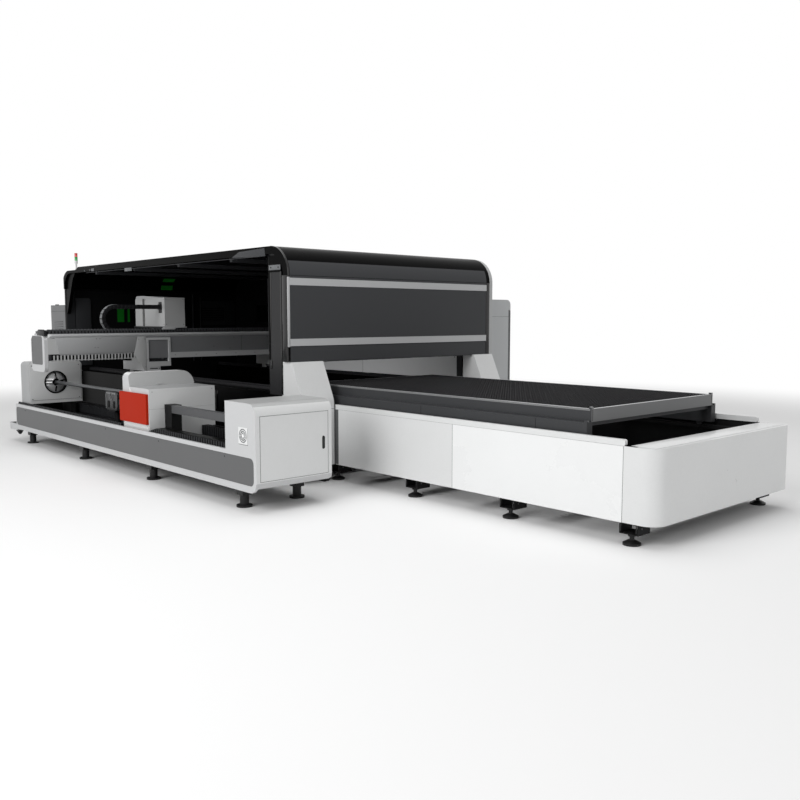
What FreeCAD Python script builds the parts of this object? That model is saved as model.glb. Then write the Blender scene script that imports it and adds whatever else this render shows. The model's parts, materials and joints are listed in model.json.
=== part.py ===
import FreeCAD, Part
import os
from math import cos, hypot, pi, sin

V = FreeCAD.Vector

# ---------------------------------------------------------------------------
# Sizes in millimetres. +X runs from the cutting cell to the exchange table,
# +Y from the tube bed to the far side, +Z up. The origin is the middle of the
# floor outline.
# ---------------------------------------------------------------------------

# Gap between pieces that move past or stand beside each other
touch = 0.3

# Cutting cell
cell_length = 4900.0
cell_width = 2490.0
cell_height = 2018.0
front_corner_radius = 255.0
rear_corner_radius = 260.0
roof_rear_drop = 32.0
roof_step_start = 420.0
roof_step_end = 515.0
roof_overhang = 24.0
roof_corner_trim = 40.0
shell_thickness = 66.0
wall_thickness = 40.0
far_cover_thickness = 49.0
far_cover_inset = 4.0
hood_bottom = 1030.0
hood_thickness = 60.0
hood_far_inset = 24.0
far_wall_bottom = 330.0
rear_wall_bottom = 250.0
trim_bottom_gap = 137.0
trim_top_gap = 82.0
trim_width = 61.0
trim_depth = 8.0
trim_groove_depth = 6.0
post_front_gap = 136.0
post_width = 184.0
post_lap = 40.0
gusset_bottom = 1402.0
gusset_reach = 229.0
gusset_top_reach = 310.0
gusset_knee = 148.0
window_length = 560.0
window_height = 230.0
window_bottom = 1350.0
window_rear_gap = 596.0
window_gap = 1100.0
window_pane = 10.0

# Main frame and gantry ways
frame_clearance = 25.0
frame_beam_top = 740.0
frame_beam_bottom = 150.0
frame_beam_wall = 14.0
frame_inset = 110.0
cross_member_width = 160.0
cross_member_height = 55.0
cross_member_count = 5
frame_foot_count = 4
ledge_width = 64.0
ledge_thickness = 25.0
upper_ledge_top = 570.0
level_drop = 330.0
rail_half_span = 930.0
rail_width = 34.0
rail_height = 35.0
rail_waist_inset = 5.0
rail_flange_height = 12.0
rack_width = 30.0
rack_height = 30.0
rack_gap = 12.0
rack_pitch = 40.0
rack_tooth_depth = 9.0

# Levelling feet
foot_disc_radius = 57.0
foot_disc_height = 14.0
foot_cone_height = 16.0
foot_stud_radius = 15.0
foot_nut_radius = 26.0
foot_nut_height = 14.0
bracket_length = 135.0
bracket_width = 137.0
bracket_wall = 6.0
bracket_drop = 70.0
post_disc_radius = 60.0
post_disc_height = 16.0
post_radius = 34.0
post_block_side = 82.0
post_block_height = 58.0

# Cowls at the lower front corners
cowl_back = 130.0
cowl_top_front = 18.0
cowl_bottom_front = 168.0
cowl_slope_bottom = 700.0
cowl_table_gap = 10.0
far_cowl_share = 0.52
far_cowl_overhang = 50.0
cowl_sheet = 5.0
cowl_seam_height = 668.0
cowl_seam_width = 4.0
cowl_seam_depth = 2.0

# Exchange table
table_reach = 3280.0
table_width = 1810.0
table_panel_bottom = 140.0
table_panel_top = 620.0
table_panel_sheet = 4.0
table_panel_seam = 1577.0
table_end_length = 237.0
table_near_corner_radius = 120.0
table_far_corner_radius = 25.0
table_end_wall = 150.0
seam_gap = 3.0
rim_width = 26.0
rim_height = 40.0
rim_end_radius = 13.0
rim_overrun = 10.0
table_foot_first = 150.0
table_foot_last = 190.0
table_foot_count = 4
table_foot_inset = 45.0
side_plate_thickness = 6.0

# Pallets
pallet_length = 3100.0
pallet_width = 1600.0
pallet_back = 370.0
tray_height = 86.0
tray_wall = 24.0
corner_plate_rise = 12.0
corner_plate_width = 22.0
chassis_width = 1700.0
chassis_height = 131.0
chassis_rail = 60.0
slat_pitch = 50.0
slat_thickness = 3.0
slat_height = 64.0
slat_tooth_count = 26
slat_tooth_depth = 14.0
pallet_wheel_radius = 29.7
pallet_wheel_width = 22.0
pallet_wheel_count = 4
pallet_inside_travel = 4140.0
drive_shaft_radius = 18.0
drive_wheel_radius = 34.0
drive_wheel_width = 14.0
drive_wheel_teeth = 16
drive_shaft_height = 192.0
drive_shaft_offset = 300.0
drive_clearance = 0.3

# Tube bed
bed_width = 680.0
bed_gap = 230.0
bed_rear_offset = 4100.0
bed_front_offset = 440.0
bed_top = 436.0
bed_bottom = 150.0
bed_wall = 12.0
bed_rim_width = 22.0
bed_floor_height = 300.0
bed_panel_top = 404.0
bed_panel_bottom = 200.0
bed_panel_depth = 6.0
bed_panel_radius = 45.0
bed_panel_end_gap = 30.0
bed_foot_first = 220.0
bed_foot_pitch = 1470.0
bed_foot_count = 4
bed_foot_inset = 100.0
tie_width = 120.0
tie_height = 90.0
tie_count = 3
tie_margin = 480.0
outrigger_length = 240.0
outrigger_width = 120.0
outrigger_inset = 6.0
outrigger_bottom = 130.0
outrigger_top = 205.0
outrigger_pad_gap = 90.0
outrigger_pad_radius = 50.0
outrigger_pad_tip = 12.0
outrigger_pad_drop = 57.0
way_width = 30.0
way_height = 28.0
way_half_span = 190.0
guard_width = 46.0
guard_rib_pitch = 45.0
guard_rib_width = 30.0
guard_base_height = 96.0
guard_rib_height = 24.0

# End box on the tube bed
end_box_length = 410.0
end_box_top = 798.0
end_box_top_radius = 88.0
end_box_low_radius = 75.0
end_box_sheet = 5.0
door_side_margin = 36.0
door_bottom = 236.0
door_top = 706.0
door_thickness = 18.0
door_lug_width = 14.0
door_hinge_gap = 3.0
handle_width = 14.0
handle_height = 100.0
handle_depth = 9.0
fan_size = 122.0
fan_radius = 51.0
fan_plate = 6.0
fan_inset = 166.0
fan_height = 558.0
fan_ring_count = 3

# Chucks
tube_axis_inset = 337.0
tube_axis_height = 682.0
tube_radius = 19.0
tube_wall = 3.0
tube_front_overrun = 300.0
tube_rear_overrun = 40.0
housing_near_inset = 45.0
housing_width = 590.0
housing_wall = 10.0
housing_radius = 45.0
rear_housing_offset = 3770.0
rear_housing_length = 250.0
rear_housing_top = 915.0
housing_foot_gap = 14.0
rotor_radius = 117.0
rotor_bore = 92.0
rotor_clearance = 0.08
bearing_sleeve = 16.0
jaw_count = 4
jaw_width = 26.0
jaw_length = 44.0
jaw_clearance = 0.3
jaw_travel = 30.0
jaw_height = 36.0
jaw_slot_clearance = 0.1
jaw_front_offset = 37.0
boss_side_wall = 8.0
boss_end_wall = 6.0
boss_depth = 54.0
boss_sink = 4.0
rotor_front_recess = 25.0
front_chuck_offset = 1387.0
front_chuck_depth = 137.0
front_chuck_lean = 32.0
front_chuck_top = 919.0
front_chuck_width = 640.0
front_chuck_radius = 110.0
front_box_length = 372.0
front_box_top = 796.0
red_panel_overhang = 27.0
red_panel_length = 523.0
red_panel_bottom = 487.0
red_panel_top = 750.0
red_panel_thickness = 22.0
red_panel_radius = 4.0
support_offset = 2165.0
support_length = 270.0
support_bottom = 496.0
support_plate_radius = 44.0
support_roller_radius = 34.0
support_roller_clearance = 0.3
support_plate = 16.0
support_roller_length = 92.0
support_top_margin = 14.0
support_base_length = 154.0
support_column_radius = 34.0
support_column_clearance = 0.08
support_column_depth = 40.0
bar_width = 60.0
bar_height = 65.0
bar_top = 655.0
bar_wall = 4.0
bar_inset = 190.0
bar_post_length = 123.0
bar_post_width = 96.0

# Gantry
beam_front_offset = 3150.0
beam_depth = 380.0
beam_top = 1235.0
beam_plate_thickness = 40.0
beam_bottom = 945.0
beam_wall = 12.0
beam_plate_overhang = 14.0
beam_plate_radius = 42.0
beam_flange_height = 62.0
beam_flange_depth = 10.0
cover_bottom = 1020.0
cover_slant = 35.0
cover_proud = 12.0
lower_bellows_bottom = 962.0
lower_bellows_pitch = 60.0
lower_bellows_fold = 10.0
lower_bellows_depth = 95.0
end_cap_thickness = 38.0
end_cap_top = 1217.0
end_cap_bottom = 835.0
end_cap_radius = 55.0
end_cap_inset = 4.0
inset_margin = 5.0
inset_front_margin = 55.0
inset_bottom_margin = 75.0
inset_radius = 28.0
carriage_width = 297.0
carriage_inner_half = 88.0
carriage_bottom = 800.0
carriage_top = 1180.0
carriage_rear_extra = 230.0
carriage_rear_top = 900.0
carriage_clearance = 0.3
carriage_window_margin = 26.0
carriage_window_bottom = 905.0
carriage_window_depth = 30.0
carriage_step_height = 852.0
slider_length = 90.0
slider_wall = 12.0
slider_lap = 22.0
chain_width = 55.0
chain_height = 48.0
chain_link_pitch = 70.0
chain_link_gap = 12.0
chain_cover_depth = 8.0
cross_rail_width = 24.0
cross_rail_height = 28.0
cross_rail_rear_inset = 47.0
cross_rail_spacing = 166.0
head_rest_offset = 593.0
head_box_length = 747.0
head_box_width = 256.0
head_box_bottom = 1302.0
head_box_top = 1638.0
head_box_sheet = 4.0
head_box_radius = 30.0
head_box_slot_inset = 224.0
head_box_slot_width = 22.0
head_box_slot_margin = 12.0
slide_plate_lift = 6.0
slide_plate_margin = 24.0
head_plate_thickness = 18.0
head_plate_gap = 10.0
head_plate_lift = 60.0
head_axis_gap = 90.0
head_bay_gap = 12.0
head_body_side = 96.0
head_body_length = 250.0
head_body_radius = 14.0
head_slide_start = 30.0
head_slide_length = 160.0
nozzle_tip_height = 935.0
nozzle_radius = 9.0
nozzle_cone_height = 46.0
nozzle_collar_radius = 34.0
nozzle_collar_height = 40.0
nozzle_bore_radius = 3.0
loop_radius = 159.0
loop_lead = 548.0
loop_lower_run = 470.0
loop_link_count = 9
loop_link_pitch = 45.0
loop_link_gap = 9.0
loop_beam_gap = 10.0

# Cabinets and signal tower
cabinet_gap = 8.0
cabinet_depth = 459.0
cabinet_length = 900.0
cabinet_front_offset = 150.0
cabinet_top = 1600.0
cabinet_seam = 1420.0
cabinet_radius = 60.0
cabinet_plinth = 60.0
cabinet_sheet = 6.0
cabinet_door_thickness = 20.0
cabinet_door_margin = 30.0
cabinet_door_sheet = 7.0
cabinet_door_fold = 60.0
cabinet_tie_inset = 24.0
laser_cabinet_depth = 470.0
laser_cabinet_gap = 10.0
laser_cabinet_width = 900.0
laser_cabinet_top = 1566.0
duct_side = 260.0
tower_offset = 255.0
tower_inset = 60.0
tower_height = 215.0
tower_stem_radius = 9.0
tower_flange_height = 6.0
tower_collar_height = 8.0
tower_lens_radius = 19.0
tower_lens_height = 46.0
tower_lens_waist = 1.5
tower_ring_height = 5.0

# ---------------------------------------------------------------------------
# Places worked out from the sizes
# ---------------------------------------------------------------------------
machine_length = laser_cabinet_depth + laser_cabinet_gap + cell_length + table_reach
far_side = roof_overhang + far_cover_thickness
machine_width = bed_width + bed_gap + cell_width + far_side + cabinet_gap + cabinet_depth
x_min = -machine_length / 2
x_rear = x_min + laser_cabinet_depth + laser_cabinet_gap
x_front = x_rear + cell_length
x_end = x_front + table_reach
y_outer = -machine_width / 2
y_bed_far = y_outer + bed_width
y_near = y_bed_far + bed_gap
y_far = y_near + cell_width
y_mid = (y_near + y_far) / 2

y_table = y_mid - table_width / 2
y_frame = y_near + frame_inset
y_frame_inner = y_mid - chassis_width / 2 - frame_clearance
x_frame_rear = x_rear + wall_thickness + seam_gap
tube_y = y_outer + tube_axis_inset
tube_z = tube_axis_height
bed_rear = x_front - bed_rear_offset
bed_front = x_front + bed_front_offset
beam_front = x_front - beam_front_offset
beam_rear = beam_front - beam_depth
head_y = y_near + head_rest_offset
rear_housing_front = x_front - rear_housing_offset
rear_housing_back = rear_housing_front - rear_housing_length
housing_near = y_outer + housing_near_inset
guard_top = bed_floor_height + guard_base_height + guard_rib_height
guard_near_edge = y_outer + bed_rim_width + touch + guard_width
guard_far_edge = y_bed_far - bed_rim_width - touch - guard_width
front_chuck_back = x_front - front_chuck_offset
front_box_front = front_chuck_back + front_chuck_depth + front_box_length
end_box_front = bed_front + end_box_length
roof_rear_height = cell_height - roof_rear_drop
hood_top = cell_height - front_corner_radius
x_cover = x_end - table_end_length


# ---------------------------------------------------------------------------
# Shape helpers
# ---------------------------------------------------------------------------
def box(x0, x1, y0, y1, z0, z1):
    return Part.makeBox(x1 - x0, y1 - y0, z1 - z0, V(x0, y0, z0))


def rod(axis, centre, radius, length):
    direction = {"x": V(1, 0, 0), "y": V(0, 1, 0), "z": V(0, 0, 1)}[axis]
    return Part.makeCylinder(radius, length, V(*centre), direction)


def tube(axis, centre, outer, inner, length):
    return rod(axis, centre, outer, length).cut(rod(axis, centre, inner, length))


def join(shapes):
    whole = shapes[0].multiFuse(shapes[1:])
    return whole.removeSplitter()


def lift(axis, a, b, c):
    """Point from two outline coordinates and the place along the axis."""
    if axis == "x":
        return V(c, a, b)
    if axis == "y":
        return V(a, c, b)
    return V(a, b, c)


def rounded_corner(before, corner, after, axis, level):
    """Start, middle and end of the arc that rounds one corner of an outline."""
    a, b, radius = corner
    back = (before[0] - a, before[1] - b)
    ahead = (after[0] - a, after[1] - b)
    back_length = hypot(*back)
    ahead_length = hypot(*ahead)
    u = (back[0] / back_length, back[1] / back_length)
    v = (ahead[0] / ahead_length, ahead[1] / ahead_length)
    cosine = u[0] * v[0] + u[1] * v[1]
    half_tangent = ((1 - cosine) / (1 + cosine)) ** 0.5
    reach = min(radius / half_tangent, 0.49 * back_length, 0.49 * ahead_length)
    radius = reach * half_tangent
    bisector = (u[0] + v[0], u[1] + v[1])
    size = hypot(*bisector)
    to_centre = hypot(radius, reach)
    middle = (to_centre - radius) / size
    return (
        lift(axis, a + u[0] * reach, b + u[1] * reach, level),
        lift(axis, a + bisector[0] * middle, b + bisector[1] * middle, level),
        lift(axis, a + v[0] * reach, b + v[1] * reach, level),
    )


def prism(corners, axis, low, high):
    """Extrude an outline; a corner with a third value is rounded by it."""
    edges = []
    stops = []
    for i, corner in enumerate(corners):
        if len(corner) == 3 and corner[2] > 0:
            before = corners[i - 1]
            after = corners[(i + 1) % len(corners)]
            start, middle, end = rounded_corner(before, corner, after, axis, low)
            stops.append((start, end))
            edges.append(Part.Arc(start, middle, end).toShape())
        else:
            point = lift(axis, corner[0], corner[1], low)
            stops.append((point, point))
    for i, stop in enumerate(stops):
        following = stops[(i + 1) % len(stops)][0]
        if (following - stop[1]).Length > 1e-6:
            edges.append(Part.LineSegment(stop[1], following).toShape())
    wire = Part.Wire(Part.__sortEdges__(edges))
    return Part.Face(wire).extrude(lift(axis, 0, 0, high - low))


def rounded_slab(axis, a0, a1, b0, b1, low, high, radius):
    corners = [(a0, b0, radius), (a1, b0, radius), (a1, b1, radius), (a0, b1, radius)]
    return prism(corners, axis, low, high)


def mirrored_y(shape):
    """The same piece on the other side of the cell's centre plane."""
    return shape.mirror(V(0, y_mid, 0), V(0, 1, 0))


def spread(first, last, count):
    step = (last - first) / (count - 1)
    return [first + step * i for i in range(count)]


def along(first, last, pitch):
    """Places from first to last that are at most one pitch apart."""
    count = max(2, int(round((last - first) / pitch)) + 1)
    return spread(first, last, count)


# ---------------------------------------------------------------------------
# Main frame, gantry rails and feet
# ---------------------------------------------------------------------------
def frame_beam():
    x0, x1 = x_frame_rear, x_front
    y0, y1 = y_frame, y_frame_inner
    outer = box(x0, x1, y0, y1, frame_beam_bottom, frame_beam_top)
    w = frame_beam_wall
    inner = box(x0, x1, y0 + w, y1 - w, frame_beam_bottom + w, frame_beam_top - w)
    return outer.cut(inner)


def pallet_ledges(x0, x1, y_root, y_tip):
    shapes = []
    for drop in (0.0, level_drop):
        top = upper_ledge_top - drop
        shapes.append(box(x0, x1, y_root, y_tip, top - ledge_thickness, top))
    return shapes


def foot_bracket(x, y_low, top):
    """Open box under a beam or panel that a levelling foot screws into."""
    half = bracket_length / 2
    y_high = y_low + bracket_width
    outer = box(x - half, x + half, y_low, y_high, top - bracket_drop, top)
    inner_half = half - bracket_wall
    inner = box(
        x - inner_half, x + inner_half, y_low, y_high,
        top - bracket_drop + bracket_wall, top - bracket_wall,
    )
    return outer.cut(inner)


def frame_foot_places():
    margin = bracket_length
    xs = spread(x_frame_rear + margin, x_front - margin - cowl_back, frame_foot_count)
    y0 = (y_frame + y_frame_inner) / 2
    return [(x, y) for x in xs for y in (y0, 2 * y_mid - y0)]


def main_frame():
    near = join([frame_beam()] + pallet_ledges(
        x_frame_rear, x_front, y_frame_inner - frame_beam_wall / 2, y_frame_inner + ledge_width,
    ))
    shapes = [near, mirrored_y(near)]
    half = cross_member_width / 2
    for x in spread(x_frame_rear + half, x_front - half, cross_member_count):
        shapes.append(box(
            x - half, x + half, y_frame_inner, 2 * y_mid - y_frame_inner,
            frame_beam_bottom, frame_beam_bottom + cross_member_height,
        ))
    for x, y in frame_foot_places():
        shapes.append(foot_bracket(x, y - bracket_width / 2, frame_beam_bottom))
    return join(shapes)


def levelling_foot(x, y, bracket_bottom):
    disc = rod("z", (x, y, 0), foot_disc_radius, foot_disc_height)
    cone = Part.makeCone(
        foot_disc_radius, foot_nut_radius, foot_cone_height, V(x, y, foot_disc_height),
    )
    stud = rod("z", (x, y, 0), foot_stud_radius, bracket_bottom)
    nut = rod("z", (x, y, bracket_bottom - foot_nut_height), foot_nut_radius, foot_nut_height)
    return join([disc, cone, stud, nut])


def table_foot_places():
    xs = spread(x_front + table_foot_first, x_end - table_foot_last, table_foot_count)
    y0 = y_table + table_foot_inset
    return [(x, y) for x in xs for y in (y0, 2 * y_mid - y0)]


def bed_foot_places():
    xs = [bed_rear + bed_foot_first + bed_foot_pitch * i for i in range(bed_foot_count)]
    ys = (y_outer + bed_foot_inset, y_bed_far - bed_foot_inset)
    return [(x, y) for x in xs for y in ys]


def post_foot(x, y, top):
    """Round post with a square block at its top and a disc on the floor."""
    half = post_block_side / 2
    block = box(x - half, x + half, y - half, y + half, top - post_block_height, top)
    post = rod("z", (x, y, 0), post_radius, top)
    disc = rod("z", (x, y, 0), post_disc_radius, post_disc_height)
    return join([block, post, disc])


def outrigger_pad():
    """Cone under the outrigger, clear of the floor."""
    x = bed_rear - outrigger_pad_gap
    y = y_outer + outrigger_inset + outrigger_width / 2
    tip = V(x, y, outrigger_bottom - outrigger_pad_drop)
    return Part.makeCone(outrigger_pad_tip, outrigger_pad_radius, outrigger_pad_drop, tip)


def levelling_feet():
    feet = []
    for x, y in frame_foot_places():
        feet.append(levelling_foot(x, y, frame_beam_bottom - bracket_drop))
    for x, y in table_foot_places():
        feet.append(levelling_foot(x, y, table_panel_bottom - bracket_drop))
    for x, y in bed_foot_places():
        feet.append(post_foot(x, y, bed_bottom))
    feet.append(outrigger_pad())
    return Part.makeCompound(feet)


def rail_profile(y):
    half = rail_width / 2
    waist = half - rail_waist_inset
    base = frame_beam_top
    low = base + rail_flange_height
    high = base + rail_height - rail_flange_height
    middle = (low + high) / 2
    top = base + rail_height
    right = [(y + half, base), (y + half, low), (y + waist, middle), (y + half, high), (y + half, top)]
    left = [(y - half, top), (y - half, high), (y - waist, middle), (y - half, low), (y - half, base)]
    return right + left


def rack_bar(x0, x1, y0):
    """Toothed bar beside the rail."""
    base = frame_beam_top
    crest = base + rack_height
    root = crest - rack_tooth_depth
    outline = [(x0, base)]
    places = along(x0, x1, rack_pitch)
    for left, right in zip(places, places[1:]):
        quarter = (right - left) / 4
        outline += [(left, root), (left + quarter, root), (left + 2 * quarter, crest)]
        outline.append((right - quarter, crest))
    outline += [(x1, root), (x1, base)]
    return prism(outline, "y", y0, y0 + rack_width)


def gantry_rail():
    y = y_mid - rail_half_span
    x0, x1 = x_frame_rear, x_front - post_front_gap - post_width - seam_gap
    rail = prism(rail_profile(y), "x", x0, x1)
    rack = rack_bar(x0, x1, y - rail_width / 2 - rack_width)
    return join([rail, rack])


def gantry_rails():
    near = gantry_rail()
    return Part.makeCompound([near, mirrored_y(near)])


# ---------------------------------------------------------------------------
# Enclosure
# ---------------------------------------------------------------------------
def arch(x0, x1, top, front_radius, rear_radius, rear_top):
    """Outline of the roof with its rounded shoulders, down to well below them."""
    low = hood_top - 2 * (front_radius + rear_radius)
    return [
        (x0, low), (x0, rear_top, rear_radius), (x_rear + roof_step_start, rear_top),
        (x_rear + roof_step_end, top), (x1, top, front_radius), (x1, low),
    ]


def roof_space(y0, y1):
    """Room under the roof's sheet."""
    t = shell_thickness
    top = cell_height - t
    outline = arch(x_rear + t, x_front - t, top, front_corner_radius - t, rear_corner_radius - t, top)
    return prism(outline, "y", y0, y1)


def roof_shell():
    y0, y1 = y_near - roof_overhang, y_far + roof_overhang
    outline = arch(
        x_rear, x_front, cell_height, front_corner_radius, rear_corner_radius, roof_rear_height,
    )
    above = box(x_rear, x_front, y0, y1, hood_top, cell_height)
    corner = box(x_rear, x_rear + roof_corner_trim, y0, y_near, hood_top, cell_height)
    return prism(outline, "y", y0, y1).cut(roof_space(y0, y1)).common(above).cut(corner)


def far_wall():
    y0, y1 = y_far - wall_thickness, y_far + roof_overhang
    t = shell_thickness
    x0, x1 = x_rear + t + seam_gap, x_front - t - seam_gap
    x_low = x_front - cowl_back - seam_gap
    top = cell_height - t
    corners = [
        (x0, far_wall_bottom), (x0, top, rear_corner_radius - t),
        (x1, top, front_corner_radius - t), (x1, hood_bottom + seam_gap),
        (x_low, hood_bottom + seam_gap), (x_low, far_wall_bottom),
    ]
    wall = prism(corners, "y", y0, y1)
    for x, z in window_places():
        wall = wall.cut(box(x, x + window_length, y0, y1, z, z + window_height))
    shelf = box(
        x0, x_low, 2 * y_mid - y_frame, y1, far_wall_bottom, far_wall_bottom + wall_thickness,
    )
    return join([wall, shelf])


def far_side_cover():
    """Outer skin of the far side, a little inside the roof's outline."""
    y0 = y_far + roof_overhang
    y1 = y0 + far_cover_thickness
    c = far_cover_inset
    x0, x1 = x_rear + c, x_front - c
    x_low = x_front - cowl_back - seam_gap
    corners = [
        (x0, far_wall_bottom), (x0, cell_height - c, rear_corner_radius - c),
        (x1, cell_height - c, front_corner_radius - c), (x1, hood_bottom + seam_gap),
        (x_low, hood_bottom + seam_gap), (x_low, far_wall_bottom),
    ]
    cover = prism(corners, "y", y0, y1)
    for x, z in window_places():
        cover = cover.cut(box(x, x + window_length, y0, y1, z, z + window_height))
    return cover


def window_places():
    first = x_rear + window_rear_gap
    return [(first, window_bottom), (first + window_length + window_gap, window_bottom)]


def viewing_windows():
    middle = y_far - wall_thickness / 2
    panes = []
    for x, z in window_places():
        panes.append(box(
            x, x + window_length, middle - window_pane / 2, middle + window_pane / 2,
            z, z + window_height,
        ))
    return Part.makeCompound(panes)


def rear_wall():
    panel = box(x_rear, x_rear + wall_thickness, y_near, y_far, rear_wall_bottom, hood_top)
    stub = box(
        x_rear + wall_thickness, x_frame_rear, y_frame, 2 * y_mid - y_frame,
        rear_wall_bottom, frame_beam_top - frame_beam_wall,
    )
    return join([panel, stub])


def trim_places():
    return hood_bottom + trim_bottom_gap, hood_top - trim_top_gap


def front_hood():
    x0 = x_front - hood_thickness
    y1 = y_far - hood_far_inset
    hood = box(x0, x_front, y_near, y1, hood_bottom, hood_top)
    for z in trim_places():
        groove = box(x_front - trim_groove_depth, x_front, y_near, y1, z, z + trim_width)
        hood = hood.cut(groove)
    return hood


def hood_trim_strips():
    x0 = x_front - trim_groove_depth
    strips = []
    for z in trim_places():
        strips.append(box(x0, x0 + trim_depth, y_near, y_far - hood_far_inset, z, z + trim_width))
    return Part.makeCompound(strips)


def near_front_post():
    x1 = x_front - post_front_gap
    x0 = x1 - post_width
    x2 = x_front - hood_thickness
    top = cell_height - shell_thickness
    post = box(x0, x1, y_near, y_frame + post_lap, frame_beam_top, top)
    gusset = box(x1, x2, y_near, y_near + wall_thickness, hood_bottom, hood_top)
    return join([post, gusset]).cut(roof_shell())


def near_rear_arch():
    """Gusset between the rear wall and the roof's rounded edge."""
    x0 = x_rear + wall_thickness
    top = cell_height - shell_thickness
    corners = [
        (x0, gusset_bottom), (x0 + gusset_reach, top - gusset_knee / 2),
        (x0 + gusset_top_reach, top), (x0, top),
    ]
    y1 = y_near + wall_thickness
    return prism(corners, "y", y_near, y1).common(roof_space(y_near, y1))


def cowl(y0, y1):
    back = x_front - cowl_back
    top_front = x_front + cowl_top_front
    low_front = x_front + cowl_bottom_front
    s = cowl_sheet
    outline = [
        (back, table_panel_bottom), (low_front, table_panel_bottom),
        (low_front, cowl_slope_bottom, cowl_back), (top_front, hood_bottom), (back, hood_bottom),
    ]
    slope = (low_front - top_front) / (hood_bottom - cowl_slope_bottom)
    inner_outline = [
        (back, table_panel_bottom), (low_front - s, table_panel_bottom),
        (low_front - s, cowl_slope_bottom - s * slope, cowl_back - s),
        (top_front - s + s * slope, hood_bottom - s), (back, hood_bottom - s),
    ]
    shell = prism(outline, "y", y0, y1).cut(prism(inner_outline, "y", y0 + s, y1 - s))
    frame_end = box(
        back, x_front + touch, y_frame - touch, y_frame_inner + ledge_width + touch,
        table_panel_bottom, frame_beam_top + touch,
    )
    seam = box(
        back, low_front, y0, y0 + cowl_seam_depth, cowl_seam_height, cowl_seam_height + cowl_seam_width,
    )
    seat_top = frame_beam_top - frame_beam_wall
    seat = box(x_front, x_front + s, y_frame, y1, frame_beam_bottom, seat_top)
    web = box(x_front, low_front - s, y_frame, y_frame + s, frame_beam_bottom, cowl_slope_bottom - s)
    return join([shell.cut(frame_end).cut(seam), seat, web])


def near_cowl():
    return cowl(y_near, y_table - cowl_table_gap)


def far_cowl():
    inner_edge = y_frame + far_cowl_share * (y_table - y_frame)
    return mirrored_y(cowl(y_near - far_cowl_overhang, inner_edge))


# ---------------------------------------------------------------------------
# Exchange table
# ---------------------------------------------------------------------------
def table_frame():
    x0 = x_front + cowl_bottom_front + seam_gap
    x1 = x_end - table_end_wall
    y0 = y_table + table_panel_sheet
    y1 = y0 + side_plate_thickness
    shaft_x = x_front + drive_shaft_offset
    half_block = bracket_length / 2
    near = [box(x0, x1, y0, y1, frame_beam_bottom, table_panel_top)]
    near += pallet_ledges(x0, x1, y0, y_frame_inner + ledge_width)
    near.append(box(
        shaft_x - half_block, shaft_x + half_block, y0, y0 + ledge_width / 2,
        frame_beam_bottom, upper_ledge_top - level_drop,
    ))
    side = join(near)
    shapes = [side, mirrored_y(side)]
    half = cross_member_width / 2
    for x in spread(shaft_x + cross_member_width, x1 - half, cross_member_count):
        shapes.append(box(
            x - half, x + half, y1, 2 * y_mid - y1,
            table_panel_bottom, table_panel_bottom + cross_member_height,
        ))
    shapes.append(box(
        x1 - cross_member_height, x1, y1, 2 * y_mid - y1,
        table_panel_bottom, upper_ledge_top - ledge_thickness,
    ))
    pad_top = frame_beam_bottom + cross_member_height
    for x, y in table_foot_places():
        y_low = y0 if y < y_mid else 2 * y_mid - y0 - bracket_width
        shapes.append(foot_bracket(x, y_low, table_panel_bottom))
        half = bracket_length / 2
        shapes.append(box(x - half, x + half, y_low, y_low + bracket_width, table_panel_bottom, pad_top))
    shaft_bore = rod(
        "y", (shaft_x, y_table, drive_shaft_height),
        drive_shaft_radius + drive_clearance, table_width,
    )
    return join(shapes).cut(shaft_bore)


def table_side(x0, x1):
    return box(x0, x1, y_table, y_table + table_panel_sheet, table_panel_bottom, table_panel_top)


def table_panel_edges():
    start = x_front + cowl_bottom_front + seam_gap
    seam = x_front + table_panel_seam
    return start, seam, x_cover


def near_table_panel_inner():
    start, seam, _ = table_panel_edges()
    return table_side(start, seam - seam_gap)


def near_table_panel_outer():
    _, seam, end = table_panel_edges()
    return table_side(seam, end - seam_gap)


def far_table_panel():
    start, _, end = table_panel_edges()
    return mirrored_y(table_side(start, end - seam_gap))


def table_end_cover():
    x0 = x_cover
    near_r, far_r = table_near_corner_radius, table_far_corner_radius
    y0, y1 = y_table, 2 * y_mid - y_table
    s = table_panel_sheet
    outline = [(x0, y0), (x_end, y0, near_r), (x_end, y1, far_r), (x0, y1)]
    inner_outline = [
        (x0, y0 + s), (x_end - s, y0 + s, near_r - s), (x_end - s, y1 - s, far_r - s), (x0, y1 - s),
    ]
    outer = prism(outline, "z", table_panel_bottom, table_panel_top)
    inner = prism(inner_outline, "z", table_panel_bottom, table_panel_top - s)
    pit = box(x0, x_end - table_end_wall, y0 + s, y1 - s, table_panel_bottom, table_panel_top)
    return outer.cut(inner).cut(pit)


def near_table_rim():
    x0 = x_front + cowl_bottom_front + seam_gap
    x1 = x_cover + rim_overrun
    y0 = y_table
    outline = [
        (x0, table_panel_top), (x1, table_panel_top, rim_end_radius),
        (x1, table_panel_top + rim_height, rim_end_radius), (x0, table_panel_top + rim_height),
    ]
    return prism(outline, "y", y0, y0 + rim_width)


# ---------------------------------------------------------------------------
# Pallets and their drive
# ---------------------------------------------------------------------------
def pallet_heights(drop):
    """Wheel axis, chassis top and tray top of a pallet that sits drop lower."""
    axle = upper_ledge_top - drop + touch + pallet_wheel_radius
    chassis_top = axle + chassis_height
    return axle, chassis_top, chassis_top + tray_height


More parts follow.
